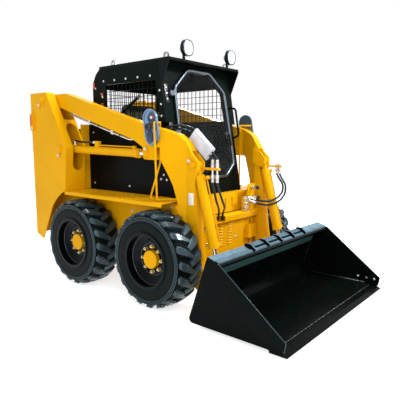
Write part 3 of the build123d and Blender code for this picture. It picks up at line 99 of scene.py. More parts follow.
class Shader:
    """One material and the nodes added to it."""

    def __init__(self, name):
        self.material = bpy.data.materials.new(name)
        self.material.use_nodes = True
        self.tree = self.material.node_tree
        self.bsdf = self.tree.nodes["Principled BSDF"]
        coordinates = node(self.tree, "TexCoord")
        self.place = coordinates.outputs["Object"]
        self.facing = coordinates.outputs["Normal"]

    def axes(self, vector):
        return node(self.tree, "SeparateXYZ", Vector=vector).outputs

    def noise(self, scale, detail, rough):
        made = node(self.tree, "TexNoise", Scale=scale, Detail=detail, Roughness=rough, Vector=self.place)
        return made.outputs["Fac"]

    def wave(self, scale, distortion=0):
        made = node(self.tree, "TexWave", Scale=scale, Distortion=distortion, Vector=self.place)
        return made.outputs["Fac"]

    def ramp(self, value, low, high, start=0.35, stop=0.65):
        ends = dict(From_Min=start, From_Max=stop, To_Min=low, To_Max=high)
        return node(self.tree, "MapRange", Value=value, **ends).outputs["Result"]

    def blend(self, factor, first, second):
        made = node(self.tree, "Mix")
        made.data_type = "RGBA"
        for name, value in (("A", first), ("B", second), ("Factor", factor)):
            feed(self.tree, made.inputs[name], value)
        return made.outputs["Result"]

    def shades(self, value, colour, dark, light):
        return self.blend(value, shade(colour, dark), shade(colour, light))

    def maths(self, first, second, operation="MULTIPLY"):
        return combine(self.tree, operation, first, second)

    def bump(self, height, distance, strength):
        made = node(self.tree, "Bump", Distance=distance, Strength=strength, Height=height)
        normal = self.bsdf.inputs["Normal"]
        if normal.is_linked:
            feed(self.tree, made.inputs["Normal"], normal.links[0].from_socket)
        feed(self.tree, normal, made.outputs["Normal"])

    def set(self, **values):
        for name, value in values.items():
            feed(self.tree, self.bsdf.inputs[name.replace("_", " ")], value)


DUST = (0.3, 0.27, 0.2)
COOL = (0.72, 0.9, 1)              # the black paint's and rubber's highlights lean to blue
WARM = (1, 0.95, 0.55)


def shade(colour, factor):
    return tuple(min(1, part * factor) for part in colour)


def paint(name, colour, rough, gloss, spread=0.07, dust=0, dust_colour=DUST, tint=(1, 1, 1)):
    """Sprayed enamel: slow drift of tone, orange peel, uneven gloss and a little dust."""
    made = Shader(name)
    slow = made.noise(2.2, 4, 0.6)
    fine = made.noise(55, 5, 0.65)
    drift = made.ramp(slow, 0, 1, 0.3, 0.7)
    tone = made.shades(drift, colour, 1 - spread, 1 + spread * 0.6)
    if dust:
        speck = made.ramp(made.noise(19, 8, 0.75), 0, dust, 0.5, 0.78)
        tone = made.blend(speck, tone, dust_colour)
    made.set(Base_Color=tone, Roughness=made.ramp(fine, rough - 0.05, rough + 0.07))
    made.set(Specular_IOR_Level=gloss, Specular_Tint=tint)
    made.bump(made.noise(420, 2, 0.5), 0.00012, 0.6)
    made.bump(made.noise(9, 3, 0.5), 0.0009, 0.35)
    return made


def metal(name, colour, rough=0.28, grain=600, spread=0.12, metallic=1, bump=0.00006):
    made = Shader(name)
    slow = made.noise(7, 4, 0.6)
    fine = made.noise(grain, 2, 0.5)
    tone = made.shades(made.ramp(slow, 0, 1), colour, 1 - spread, 1 + spread)
    made.set(Base_Color=tone, Roughness=made.ramp(fine, rough - 0.06, rough + 0.1), Metallic=metallic)
    made.bump(fine, bump, 0.7)
    return made


def rubber(name, colour=(0.003, 0.0045, 0.0042), rough=0.36, grain=260, gloss=0.11):
    made = Shader(name)
    slow = made.noise(6, 5, 0.6)
    fine = made.noise(grain, 4, 0.6)
    tone = made.blend(made.ramp(slow, 0, 1, 0.3, 0.72), colour, shade(colour, 1.9))
    made.set(Base_Color=tone, Roughness=made.ramp(slow, rough - 0.08, rough + 0.12))
    made.set(Specular_IOR_Level=gloss, Specular_Tint=COOL)
    made.bump(fine, 0.0003, 0.5)
    return made


def plastic(name, colour, rough=0.5, grain=380, depth=0.0003, gloss=0.25):
    made = Shader(name)
    fine = made.noise(grain, 3, 0.6)
    slow = made.noise(12, 3, 0.5)
    tone = made.shades(made.ramp(slow, 0, 1), colour, 0.85, 1.15)
    made.set(Base_Color=tone, Roughness=made.ramp(fine, rough - 0.08, rough + 0.08))
    made.set(Specular_IOR_Level=gloss)
    made.bump(fine, depth, 0.6)
    return made


def vinyl(name, colour):
    """Seat cover with a leather-like pebble."""
    made = Shader(name)
    cells = node(made.tree, "TexVoronoi", Scale=420, Vector=made.place)
    cells.feature = "DISTANCE_TO_EDGE"
    grain = made.ramp(cells.outputs["Distance"], 0, 1, 0, 0.16)
    slow = made.noise(8, 4, 0.55)
    tone = made.shades(made.ramp(slow, 0, 1), colour, 0.8, 1.2)
    made.set(Base_Color=tone, Roughness=made.ramp(slow, 0.42, 0.56))
    made.set(Sheen_Weight=0.05, Specular_IOR_Level=0.3)
    made.bump(grain, 0.0004, 0.6)
    return made


def lens(name, colour, rough, ribs):
    """Ribbed plastic under a clear coat."""
    made = Shader(name)
    slow = made.noise(30, 2, 0.5)
    tone = made.shades(made.ramp(slow, 0, 1), colour, 0.92, 1.05)
    made.set(Base_Color=tone, Roughness=rough, Coat_Weight=0.6, Coat_Roughness=0.05)
    made.bump(made.wave(ribs), 0.0012, 0.7)
    return made


def glass(name):
    """Clear flat pane: mostly see-through, brighter reflection at a slant."""
    made = Shader(name)
    slow = made.noise(5, 3, 0.5)
    made.set(Base_Color=(0.5, 0.56, 0.54), Roughness=0.03, IOR=1.45, Specular_IOR_Level=0.4)
    made.set(Alpha=made.ramp(slow, 0.006, 0.016))
    made.material.surface_render_method = "BLENDED"
    return made


def rippled(name, colour):
    """Painted weld bead: overlapping ripples along it."""
    made = Shader(name)
    slow = made.noise(30, 3, 0.5)
    made.set(Base_Color=made.shades(slow, colour, 0.6, 1.5), Roughness=made.ramp(slow, 0.15, 0.3))
    made.set(Specular_IOR_Level=0.6, Specular_Tint=COOL)
    made.bump(made.wave(55, 2), 0.0008, 0.8)
    return made


def screen(name):
    """Fine square mesh: black wires with darker gaps, the gaps a painted shade for the dark space behind the
    mesh.
    """
    made = Shader(name)
    place = made.axes(made.place)
    wires = []
    for axis in ("X", "Z"):
        turn = made.maths(made.maths(place[axis], 520), 0, "SINE")
        wires.append(made.ramp(turn, 0, 1, -0.2, 0.7))
    grid = made.maths(*wires, "MAXIMUM")
    # The gaps' near-black is painted shade: the dark space seen through the mesh's holes.
    made.set(Base_Color=made.blend(grid, (0.0015, 0.0015, 0.0015), (0.012, 0.012, 0.013)))
    made.set(Roughness=0.45, Specular_IOR_Level=0.3)
    made.bump(grid, 0.0008, 0.8)
    return made


def zinc_above(made, height, out):
    """The roof's lifting eyes are bare zinc: above height, and further than out from the middle."""
    place = made.axes(made.place)
    high = made.maths(place["Z"], height, "GREATER_THAN")
    wide = made.maths(made.maths(place["X"], 0, "ABSOLUTE"), out, "GREATER_THAN")
    bare = made.maths(high, wide)
    tone = made.bsdf.inputs["Base Color"].links[0].from_socket
    made.set(Base_Color=made.blend(bare, tone, (0.42, 0.43, 0.44)), Metallic=bare)
    return made


def painted_lip_highlight(made):
    """Painted highlight: the rolled top lip is painted paler along its crest, where the surface faces up and
    ahead.
    """
    place = made.axes(made.place)
    facing = made.axes(made.facing)
    inside = made.maths(made.maths(place["X"], 0, "ABSOLUTE"), 0.8315, "LESS_THAN")
    lean = made.maths(made.maths(facing["Y"], -0.55), made.maths(facing["Z"], 0.83), "ADD")
    crest = made.ramp(lean, 0, 1, 0.55, 0.95)
    highlight_breakup = made.ramp(made.noise(14, 6, 0.7), 0.65, 1, 0.35, 0.6)
    high = made.ramp(place["Z"], 0, 1, 0.492, 0.518)
    painted_highlight = made.maths(made.maths(made.maths(high, crest), highlight_breakup), inside)
    tone = made.bsdf.inputs["Base Color"].links[0].from_socket
    # The pale blue-grey on the lip's crest is a painted highlight, broken into uneven patches by noise.
    made.set(Base_Color=made.blend(painted_highlight, tone, (0.13, 0.215, 0.27)))
    return made


YELLOW = (0.76, 0.372, 0.0022)
YELLOW_DUST = (0.5, 0.3, 0.02)
EYES_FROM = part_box("cab_roof")[1][2] - 0.056       # the roof's lifting eyes stand above this height


def black(name, colour, rough, gloss, spread=0.3, dust=0):
    return paint(name, colour, rough, gloss, spread, dust, tint=COOL)


ROOF_PAINT = black("roof_enamel", (0.003, 0.0045, 0.0042), 0.26, 0.09, 0.25)
BUCKET_PAINT = black("bucket_enamel", (0.0016, 0.0026, 0.002), 0.22, 0.035, dust=0.01)
M = {
    "yellow": paint("yellow_enamel", YELLOW, 0.26, 0.05, dust=0.02, dust_colour=YELLOW_DUST, tint=WARM),
    "black": black("black_enamel", (0.0045, 0.0055, 0.0052), 0.28, 0.14, dust=0.02),
    "cab_black": black("cab_black_enamel", (0.0038, 0.007, 0.0052), 0.26, 0.04, 0.25),
    "roof_black": zinc_above(ROOF_PAINT, EYES_FROM, 0.35),
    # the bucket's enamel carries a painted highlight along its top lip
    "bucket_black": painted_lip_highlight(BUCKET_PAINT),
    "side_black": black("side_sheet_black", (0.003, 0.0035, 0.0035), 0.32, 0.05),
    "rim_black": black("rim_enamel", (0.0018, 0.0022, 0.0022), 0.2, 0.09),
    "rim_gloss": black("rim_lip_enamel", (0.004, 0.006, 0.008), 0.16, 0.8, 0.2),
    # The bucket's edge beads are painted paler than its enamel: a painted highlight.
    "edge_highlight_black": black("edge_highlight_enamel", (0.016, 0.03, 0.034), 0.24, 0.3),
    # A real plate whose pale grey-green tone is a painted sheen.
    "strip_painted_sheen": black("strip_enamel", (0.04, 0.092, 0.084), 0.3, 0.2, 0.25),
    "pale_yellow": paint("louvre_enamel", (0.86, 0.5, 0.035), 0.26, 0.2, tint=(1, 0.95, 0.7)),
    "gunmetal": metal("gunmetal_plate", (0.19, 0.28, 0.41), rough=0.26, metallic=0.85),
    "dish": metal("dark_dish", (0.045, 0.07, 0.1), rough=0.22, metallic=0.85),
    "door_tube": metal("door_tube", (0.13, 0.16, 0.2), rough=0.24, metallic=0.9),
    "zinc": metal("zinc_plate", (0.62, 0.62, 0.6), rough=0.26),
    "brass_zinc": metal("yellow_zinc", (0.63, 0.5, 0.24), rough=0.3),
    "chrome": metal("hard_chrome", (0.75, 0.76, 0.78), rough=0.1, spread=0.03),
    "iron": metal("cast_iron_dark", (0.05, 0.05, 0.05), rough=0.6, metallic=0.4, grain=220, bump=0.0006),
    "tyre": rubber("tyre_rubber", rough=0.3, gloss=0.045),
    # Lugs and shoulder ridges: the tyre's rubber painted paler and bluer, as a painted highlight.
    "lug": rubber("lug_rubber_painted_highlight", (0.017, 0.029, 0.034), 0.24, 200, 0.42),
    "hose": rubber("hose_rubber", (0.004, 0.005, 0.006), 0.26, 500, 0.35),
    "seal": rubber("seal_rubber", (0.008, 0.008, 0.008), 0.5, 300),
    "cab_plastic": plastic("cab_plastic", (0.018, 0.02, 0.019)),
    "knob_white": plastic("pale_knob", (0.62, 0.62, 0.58), 0.35, 300, 0.0001),
    "knob_black": plastic("dark_knob", (0.006, 0.006, 0.007), 0.3, 300, 0.0001, 0.5),
    "sleeve": plastic("pale_sleeve", (0.6, 0.62, 0.68), 0.4, 160, 0.0002),
    "vinyl": vinyl("seat_vinyl", (0.112, 0.122, 0.058)),
    "white_lens": lens("work_lamp_lens", (0.86, 0.89, 0.93), 0.1, 40),
    "red_lens": lens("red_lens", (0.55, 0.012, 0.008), 0.14, 60),
    "pale_lens": lens("pale_reflector", (0.8, 0.8, 0.78), 0.14, 60),
    "glass": glass("pane"),
    "label": plastic("blank_label", (0.8, 0.79, 0.77), 0.35, 300, 0.00005),
    "weld": rippled("weld_bead", (0.01, 0.012, 0.013)),
    "screen": screen("grille_screen"),
    "tag": plastic("pipe_tag", (0.03, 0.16, 0.05), 0.45, 300, 0.0001),
}
M = {name: made.material for name, made in M.items()}

WHEELS = [f"{axle}_{side}" for axle, ahead in AXLES for side, sign in SIDES]
NODE_LOOK = {
    "yellow": "chassis front_panel running_boards tower_left tower_right tail_lamps arm_left arm_right "
              "arm_cross_tube prop_rods lift_barrels tilt_barrels coupler_frame rear_door hub_"
              + " hub_".join(WHEELS),
    "rim_black": "rim_" + " rim_".join(WHEELS),
    "black": "axle_housings rear_bumper engine_hood work_lamps",
    "side_black": "body_side_panels",
    "cab_black": "cab_frame window_guards",
    "roof_black": "cab_roof",
    "bucket_black": "bucket_shell cutting_edge",
    "door_tube": "cab_door_frame",
    "glass": "cab_door_glass",
    "gunmetal": "lock_plates",
    "chrome": "lift_rods tilt_rods",
    "iron": "engine",
    "cab_plastic": "seat_box control_levers",
    "vinyl": "seat",
    "hose": "arm_hoses lift_hoses",
    "zinc": "hose_fittings",
}
for look, names in NODE_LOOK.items():
    for name in names.split():
        slots = NODES[name].data.materials
        slots.clear()
        slots.append(M[look])


# ---- piece helpers
def new_object(name, data):
    made = bpy.data.objects.new(name, data)
    bpy.context.scene.collection.objects.link(made)
    return made


def mesh_from(name, shape):
    """Mesh of a bmesh shape, which is freed."""
    mesh = bpy.data.meshes.new(name)
    shape.to_mesh(mesh)
    shape.free()
    return mesh


def piece(name, shapes, look, body, smooth=35):
    """One piece from bmesh shapes: joined, finished and riding on its body."""
    whole = bmesh.new()
    for shape in shapes:
        part = mesh_from("part", shape)
        whole.from_mesh(part)
        bpy.data.meshes.remove(part)
    bmesh.ops.recalc_face_normals(whole, faces=whole.faces[:])
    mesh = mesh_from(name, whole)
    mesh.materials.append(M[look])
    mesh.shade_smooth()
    mesh.set_sharp_from_angle(angle=math.radians(smooth))
    made = new_object(name, mesh)
    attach(made, body)
    return made


def sharp_piece(name, shapes, look, body):
    """Piece for small hardware, whose flatter edges stay sharp too."""
    return piece(name, shapes, look, body, smooth=30)


def basis(direction, up):
    """Matrix whose Z is direction."""
    z = Vector(direction).normalized()
    x = Vector(up).cross(z)
    if x.length < 1e-4:
        x = Vector((1, 0, 0)).cross(z)
    x.normalize()
    y = z.cross(x)
    return Matrix((x, y, z)).transposed().to_4x4()


def stand(place, direction, up=UP):
    """Matrix that takes a shape drawn about the origin to place, its Z along direction."""
    return Matrix.Translation(place) @ basis(direction, up)


def bridge(made, low, high):
    """Faces between two closed rings of the same number of corners."""
    count = len(low)
    for i in range(count):
        k = (i + 1) % count
        made.faces.new((low[i], low[k], high[k], high[i]))


def skin(made, rings):
    """Faces between each ring and the next."""
    for low, high in zip(rings, rings[1:]):
        bridge(made, low, high)


def cap(made, first, last):
    """Closes the two ends of a run of rings."""
    made.faces.new(list(reversed(first)))
    made.faces.new(last)


def circle(radius, count, height):
    """Points of a circle at a height."""
    turns = [2 * math.pi * i / count for i in range(count)]
    return [Vector((radius * math.cos(turn), radius * math.sin(turn), height)) for turn in turns]


def corners(made, matrix, points):
    return [made.verts.new(matrix @ Vector(point)) for point in points]


def lathe(profile, place, direction, segments):
    """Turned shape: profile is (radius, height along direction); ends are closed on the axis."""
    made = bmesh.new()
    matrix = stand(place, direction)
    rings = []
    for radius, height in profile:
        points = [(0, 0, height)]
        if radius > 1e-6:
            points = circle(radius, segments, height)
        rings.append(corners(made, matrix, points))
    for low, high in zip(rings, rings[1:]):
        if len(low) > 1 and len(high) > 1:
            bridge(made, low, high)
        elif len(low) > 1:
            for i in range(segments):
                made.faces.new((low[i], low[(i + 1) % segments], high[0]))
        elif len(high) > 1:
            for i in range(segments):
                made.faces.new((low[0], high[i], high[(i + 1) % segments]))
    return made


def hex_bolt(place, direction, across, head, washer=0, turn=0):
    """Hexagon head with a chamfered top, on a washer if asked."""
    made = bmesh.new()
    matrix = stand(place, direction) @ Matrix.Rotation(turn, 4, "Z")
    corner = across / math.sqrt(3)
    rows = ((corner, -0.001), (corner, head * 0.82), (corner * 0.9, head))
    rings = [corners(made, matrix, circle(radius, 6, height)) for radius, height in rows]
    skin(made, rings)
    cap(made, rings[0], rings[-1])
    if not washer:
        return [made]
    disc = [(0, -0.001), (washer, -0.001), (washer, 0.0018), (washer - 0.001, 0.0025), (0, 0.0025)]
    return [made, lathe(disc, place, direction, 20)]


def prism(points, low, high, matrix, bevel=0, segments=2):
    """Extrudes a closed outline (x, y) from low to high along the matrix's Z, with rounded edges."""
    made = bmesh.new()
    bottom = [made.verts.new((x, y, low)) for x, y in points]
    top = [made.verts.new((x, y, high)) for x, y in points]
    cap(made, bottom, top)
    bridge(made, bottom, top)
    bmesh.ops.recalc_face_normals(made, faces=made.faces[:])
    if bevel:
        edges = [e for e in made.edges if e.calc_face_angle(0) > 0.5]
        bmesh.ops.bevel(made, geom=edges, offset=bevel, segments=segments, profile=0.6, affect="EDGES")
    bmesh.ops.transform(made, matrix=matrix, verts=made.verts[:])
    return made


def rounded(width, height, radius, steps=4):
    """Rounded rectangle about the origin."""
    points = []
    for cx, cy, start in ((1, 1, 0), (-1, 1, 90), (-1, -1, 180), (1, -1, 270)):
        for i in range(steps + 1):
            turn = math.radians(start + 90 * i / steps)
            points.append((cx * (width / 2 - radius) + radius * math.cos(turn),
                           cy * (height / 2 - radius) + radius * math.sin(turn)))
    return points


def slab(width, height, thick, place, direction, up=UP, radius=0.004, bevel=0.0015):
    """Rounded plate centred on place, its back face there, facing direction."""
    return prism(rounded(width, height, radius), 0, thick, stand(place, direction, up), bevel)


def tube(name, points, radius, look, body):
    """Round tube on a smooth curve through the points."""
    curve = bpy.data.curves.new(name, "CURVE")
    curve.dimensions = "3D"
    line = curve.splines.new("NURBS")
    line.points.add(len(points) - 1)
    for spot, where in zip(line.points, points):
        spot.co = (*where, 1)
    line.order_u = 3
    line.use_endpoint_u = True
    line.resolution_u = 6
    curve.bevel_depth = radius
    curve.bevel_resolution = 4
    curve.use_fill_caps = True
    curve.materials.append(M[look])
    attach(new_object(name, curve), body)


# ---- tyres
TYRE_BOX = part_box("tyre_front_right")
TYRE_R = (TYRE_BOX[1][2] - TYRE_BOX[0][2]) / 2
TYRE_HALF = (TYRE_BOX[1][0] - TYRE_BOX[0][0]) / 2
BEAD_R = 0.2095
LUGS = 20


def tyre_profile():
    """Half section of the carcass, (across, radius), from the tread's middle to the bead."""
    crown = TYRE_R - 0.025
    half = TYRE_HALF
    line = [(0, crown), (0.04, crown - 0.001), (0.08, crown - 0.004)]
    line += [(0.1, crown - 0.008), (half - 0.019, crown - 0.013)]
    for ridge in range(3):
        out = crown - 0.0165 - 0.0125 * ridge
        line += [(half - 0.0065, out), (half - 0.0015, out - 0.002), (half - 0.0005, out - 0.0045),
                 (half - 0.0015, out - 0.007), (half - 0.006, out - 0.0095)]
    line += [(half - 0.0035, crown - 0.06), (half - 0.0025, crown - 0.075), (half - 0.0035, crown - 0.11)]
    line += [(half - 0.005, crown - 0.125), (half - 0.004, BEAD_R + 0.022), (half - 0.001, BEAD_R + 0.018)]
    return line + [(half - 0.001, BEAD_R + 0.001), (half - 0.02, BEAD_R - 0.0005)]


# the tread's surface from the middle line over the shoulder: (across, depth below the tyre's radius)
TREAD_LINE = ((0, 0.0012), (0.05, 0.0018), (0.09, 0.005), (0.11, 0.01), (0.123, 0.019), (0.129, 0.03),
              (0.1305, 0.044))


def tread_at(distance):
    """Point of the tread's surface and its outward normal at a distance across, then down the side."""
    line = [(x, TYRE_R - depth) for x, depth in TREAD_LINE]
    travelled = 0
    for (x0, r0), (x1, r1) in zip(line, line[1:]):
        step = math.hypot(x1 - x0, r1 - r0)
        if travelled + step >= distance or (x1, r1) == line[-1]:
            share = min(1, (distance - travelled) / step)
            normal = Vector((r0 - r1, x1 - x0)).normalized()
            return x0 + (x1 - x0) * share, r0 + (r1 - r0) * share, normal
        travelled += step


# along a lug: distance across the tread, lead round the tyre, width, height as a share
LUG_STATIONS = (
    (-0.018, 0.046, 0.03, 1), (-0.004, 0.041, 0.04, 1), (0.016, 0.028, 0.05, 1),
    (0.034, 0.016, 0.056, 1), (0.04, 0.01, 0.06, 1), (0.062, 0.001, 0.063, 1),
    (0.084, -0.01, 0.066, 1), (0.104, -0.02, 0.068, 1), (0.118, -0.026, 0.066, 1),
    (0.13, -0.03, 0.06, 0.96), (0.142, -0.032, 0.052, 0.7),
)


def lug_section(half):
    """Cross-section of a lug, (along the tread, out of it)."""
    trailing = [(-half - 0.004, -0.03), (-half, -0.012), (-half + 0.007, -0.011), (-half + 0.01, -0.0015)]
    leading = [(half - 0.003, 0), (half - 0.0005, -0.0015), (half + 0.005, -0.03)]
    return trailing + [(-half + 0.012, 0)] + leading


def lug(mesh, centre, sign, start, mirror):
    """One bent chevron lug from past the middle line, over the shoulder, down the side."""
    rings = []
    for across, lead, width, height in LUG_STATIONS:
        x, radius, normal = tread_at(abs(across))
        if across < 0:
            x = across
            normal = Vector((0, 1))
        ring = []
        for along, out in lug_section(width / 2):
            lift = out + (1 - height) * -0.016
            px = x + normal[0] * lift
            pr = radius + normal[1] * lift
            turn = start + (lead + along) / TYRE_R
            spot = Vector((sign * mirror * px, -pr * math.sin(turn), pr * math.cos(turn)))
            ring.append(mesh.verts.new(centre + spot))
        rings.append(ring)
    skin(mesh, rings)
    cap(mesh, rings[-1], rings[0])


def ring_bar(radius, thick, centre, sign):
    """Round bar bent to a ring about a wheel's axle."""
    turns = [2 * math.pi * k / 12 for k in range(13)]
    profile = [(radius + thick * math.cos(turn), thick * math.sin(turn)) for turn in turns]
    return lathe(profile, centre, (sign, 0, 0), 96)


def tyre(axle, side, sign, ahead):
    centre = at(sign * WHEEL_X, ahead, TYRE_R)
    out = (sign, 0, 0)
    body = f"wheel_{axle}_{side}"
    half = tyre_profile()
    line = [(-x, r) for x, r in reversed(half[1:])] + half
    outside = lathe([(r, x) for x, r in line], centre, out, 112)
    bore = BEAD_R - 0.0005
    inside = lathe([(bore, TYRE_HALF - 0.02), (bore, -TYRE_HALF + 0.02)], centre, out, 112)
    made = piece(f"tyre_carcass_{axle}_{side}", [outside, inside], "tyre", body, 32)
    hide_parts(f"tyre_{axle}_{side}")
    lugs = bmesh.new()
    for i in range(LUGS):
        turn = 2 * math.pi * i / LUGS
        lug(lugs, centre, sign, turn, 1)
        lug(lugs, centre, sign, turn + math.pi / LUGS, -1)
    ridges = []
    for face in (1, -1):
        middle = centre + Vector((sign * face * (TYRE_HALF - 0.002), 0, 0))
        for ridge in range(3):
            ridges.append(ring_bar(TYRE_R - 0.046 - 0.0125 * ridge, 0.0033, middle, sign))
    # The lugs and ridges take the paler lug rubber, a painted highlight.
    piece(f"tread_lugs_{axle}_{side}", [lugs, *ridges], "lug", body, 32)


STUD_NUT = ((0, 0.017), (0.0075, 0.017), (0.0075, 0.027), (0.006, 0.029), (0, 0.029))
VALVE = ((0, 0), (0.007, 0), (0.006, 0.02), (0.004, 0.022), (0.004, 0.038), (0, 0.038))
# rings of the rim: radius, depth behind the tyre's face, thickness
RIM_RINGS = ((BEAD_R + 0.0015, 0.0035, 0.0055), (0.1975, 0.058, 0.005), (0.13, 0.0905, 0.0045))


def wheel_trim(axle, side, sign, ahead):
    """Nuts on the studs, rings on the rim's edges and a valve."""
    body = f"wheel_{axle}_{side}"
    out = (sign, 0, 0)
    outside = WHEEL_X + TYRE_HALF
    face = sign * (outside - 0.092)
    nuts = []
    for i in range(8):
        turn = 2 * math.pi * i / 8
        spot = at(face, ahead + STUD_CIRCLE * math.cos(turn), TYRE_R + STUD_CIRCLE * math.sin(turn))
        nuts += hex_bolt(spot, out, 0.027, 0.018, 0.017, i * 0.7)
        nuts.append(lathe(STUD_NUT, spot, out, 16))
    sharp_piece(f"wheel_nuts_{axle}_{side}", nuts, "brass_zinc", body)
    rings = []
    for radius, depth, thick in RIM_RINGS:
        rings.append(ring_bar(radius, thick, at(sign * (outside - depth), ahead, TYRE_R), sign))
    piece(f"rim_rings_{axle}_{side}", rings, "rim_gloss", body)
    spot = at(face + sign * 0.028, ahead, TYRE_R + 0.165)
    piece(f"valve_{axle}_{side}", [lathe(VALVE, spot, (sign, 0, -0.25), 12)], "seal", body)


for axle, ahead in AXLES:
    for side, sign in SIDES:
        tyre(axle, side, sign, ahead)
        wheel_trim(axle, side, sign, ahead)


# ---- shared small shapes
def bolts(name, spots, direction, look, body, across=0.019, head=0.008, washer=0.013):
    shapes = []
    for i, spot in enumerate(spots):
        shapes += hex_bolt(spot, direction, across, head, washer, i * 0.6)
    return sharp_piece(name, shapes, look, body)


def dome(width, height, radius, rise, place, direction, up=UP):
    """Rounded outline that swells to a shallow crown, for lenses and caps."""
    made = bmesh.new()
    matrix = stand(place, direction, up)
    outline = rounded(width, height, radius, 7)
    rows = []
    for i in range(6):
        turn = 0.5 * math.pi * i / 6
        scale = math.cos(turn)
        level = rise * math.sin(turn)
        rows.append(corners(made, matrix, [(x * scale, y * scale, level) for x, y in outline]))
    crown = made.verts.new(matrix @ Vector((0, 0, rise)))
    made.faces.new(list(reversed(rows[0])))
    skin(made, rows)
    last = rows[-1]
    for i, corner in enumerate(last):
        made.faces.new((corner, last[(i + 1) % len(last)], crown))
    return made


def bezel(width, height, radius, lip, thick, place, direction, steps=7):
    """Rounded ring of a rectangular section with eased front edges."""
    made = bmesh.new()
    matrix = stand(place, direction)
    ease = lip * 0.25
    section = [(0, 0), (0, thick - ease), (ease, thick)]
    section += [(lip - ease, thick), (lip, thick - ease), (lip, 0)]
    rows = []
    for inset, rise in section:
        outline = rounded(width - 2 * inset, height - 2 * inset, radius - inset, steps)
        rows.append(corners(made, matrix, [(x, y, rise) for x, y in outline]))
    skin(made, rows + rows[:1])
    return made


def bar_shape(points, radius, segments=12, closed=False):
    """Round bar through straight runs, its corners mitred."""
    made = bmesh.new()
    path = [Vector(point) for point in points]
    runs = [(end - start).normalized() for start, end in zip(path, path[1:] + path[:1])]
    rings = []
    side = None
    for i, spot in enumerate(path):
        before = runs[i - 1] if i or closed else runs[0]
        after = runs[i] if closed or i < len(path) - 1 else before
        along = (before + after).normalized()
        side = side or along.orthogonal().normalized()
        side = (side - along * side.dot(along)).normalized()
        other = along.cross(side)
        stretch = 1 / max(0.5, along.dot(after))
        bend = after - before
        ring = []
        for k in range(segments):
            turn = 2 * math.pi * k / segments
            offset = side * math.cos(turn) + other * math.sin(turn)
            if bend.length > 1e-4:
                offset += bend.normalized() * offset.dot(bend.normalized()) * (stretch - 1)
            ring.append(made.verts.new(spot + offset * radius))
        rings.append(ring)
    if closed:
        rings.append(rings[0])
    else:
        cap(made, rings[0], rings[-1])
    skin(made, rings)
    return made


def ferrule(place, direction, radius, length):
    """Crimped hose end: a collar with three pressed grooves and a hexagon nut at its foot."""
    groove = radius * 0.92
    profile = [(0, 0), (groove, 0), (radius, 0.001)]
    for share in (0.3, 0.5, 0.7):
        middle = length * share
        profile += [(radius, middle - length * 0.06), (groove, middle - length * 0.035)]
        profile += [(groove, middle + length * 0.035), (radius, middle + length * 0.06)]
    profile += [(radius, length - 0.001), (groove, length), (0, length)]
    foot = Vector(place) - Vector(direction) * 0.001
    return [lathe(profile, place, direction, 24), *hex_bolt(foot, direction, radius * 2.2, length * 0.2)]


# ---- pins and their keepers
# name, body, face x, ahead, height, pin radius, where the keeper's bolt lies (ahead, up)
PINS = (
    ("arm_pivot", "frame", 0.753, -0.962, 1.677, 0.028, (-0.047, -0.04)),
    ("lift_foot", "frame", 0.753, -0.705, 1.225, 0.023, (-0.014, -0.055)),
    ("lift_eye", "loader_arms", 0.66, 0.345, 1.202, 0.021, (0.002, 0.042)),
    ("tilt_head", "loader_arms", 0.534, 0.725, 1.12, 0.021, (-0.034, 0.036)),
    ("tilt_eye", "bucket", 0.538, 0.9375, 0.32, 0.02, (-0.006, -0.046)),
    ("bucket_pin", "bucket", 0.538, 0.865, 0.135, 0.021, (0.034, 0.036)),
)
GREASE_NIPPLE = ((0, 0.011), (0.0035, 0.011), (0.0035, 0.017), (0.002, 0.021), (0, 0.021))


def keeper(name, body, x, ahead, z, radius, reach):
    """Pin end with a tear-shaped keeper plate held by one bolt, on both sides of the machine."""
    plates = []
    screws = []
    end = [(0, 0), (radius, 0), (radius, 0.011), (radius - 0.003, 0.014)]
    end += [(0.006, 0.014), (0.005, 0.012), (0, 0.012)]
    length = math.hypot(*reach)
    for side, sign in SIDES:
        out = (sign, 0, 0)
        place = at(sign * x, ahead, z)
        plates.append(lathe(end, place, out, 32))
        middle = at(sign * x, ahead + reach[0] * 0.62, z + reach[1] * 0.62)
        up = (0, -reach[0], reach[1])
        plates.append(slab(radius * 1.05, length * 1.05, 0.006, middle, out, up, radius * 0.5, 0.0012))
        held = at(sign * (x + 0.006), ahead + reach[0], z + reach[1])
        screws += hex_bolt(held, out, 0.02, 0.009, 0.0135, 0.3)
        screws.append(lathe(GREASE_NIPPLE, place, out, 12))
    piece(name + "_keepers", plates, "yellow", body)
    sharp_piece(name + "_bolts", screws, "zinc", body)


for row in PINS:
    keeper(*row)


# ---- lamps and reflectors
LAMP_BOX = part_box("work_lamps")
LAMP_WIDTH = 0.122
LAMP_HEIGHT = 0.13
LAMP_BOLT_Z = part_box("cab_roof")[1][2] - 0.028


def work_lamp_faces():
    front = FOOT - LAMP_BOX[0][1]
    middle = LAMP_BOX[1][0] - LAMP_WIDTH / 2
    rims = []
    panes = []
    screws = []
    for side, sign in SIDES:
        place = at(sign * middle, front, LAMP_BOX[1][2] - LAMP_HEIGHT / 2)
        rims.append(bezel(LAMP_WIDTH - 0.002, LAMP_HEIGHT - 0.002, 0.051, 0.008, 0.006, place, FRONT))
        panes.append(dome(LAMP_WIDTH - 0.016, LAMP_HEIGHT - 0.016, 0.044, 0.009, place, FRONT))
        screws += hex_bolt(at(sign * middle, 0.4365, LAMP_BOLT_Z), FRONT, 0.014, 0.007, 0.01)
    piece("work_lamp_bezels", rims, "door_tube", "frame")
    piece("work_lamp_lenses", panes, "white_lens", "frame")
    sharp_piece("work_lamp_bolts", screws, "zinc", "frame")


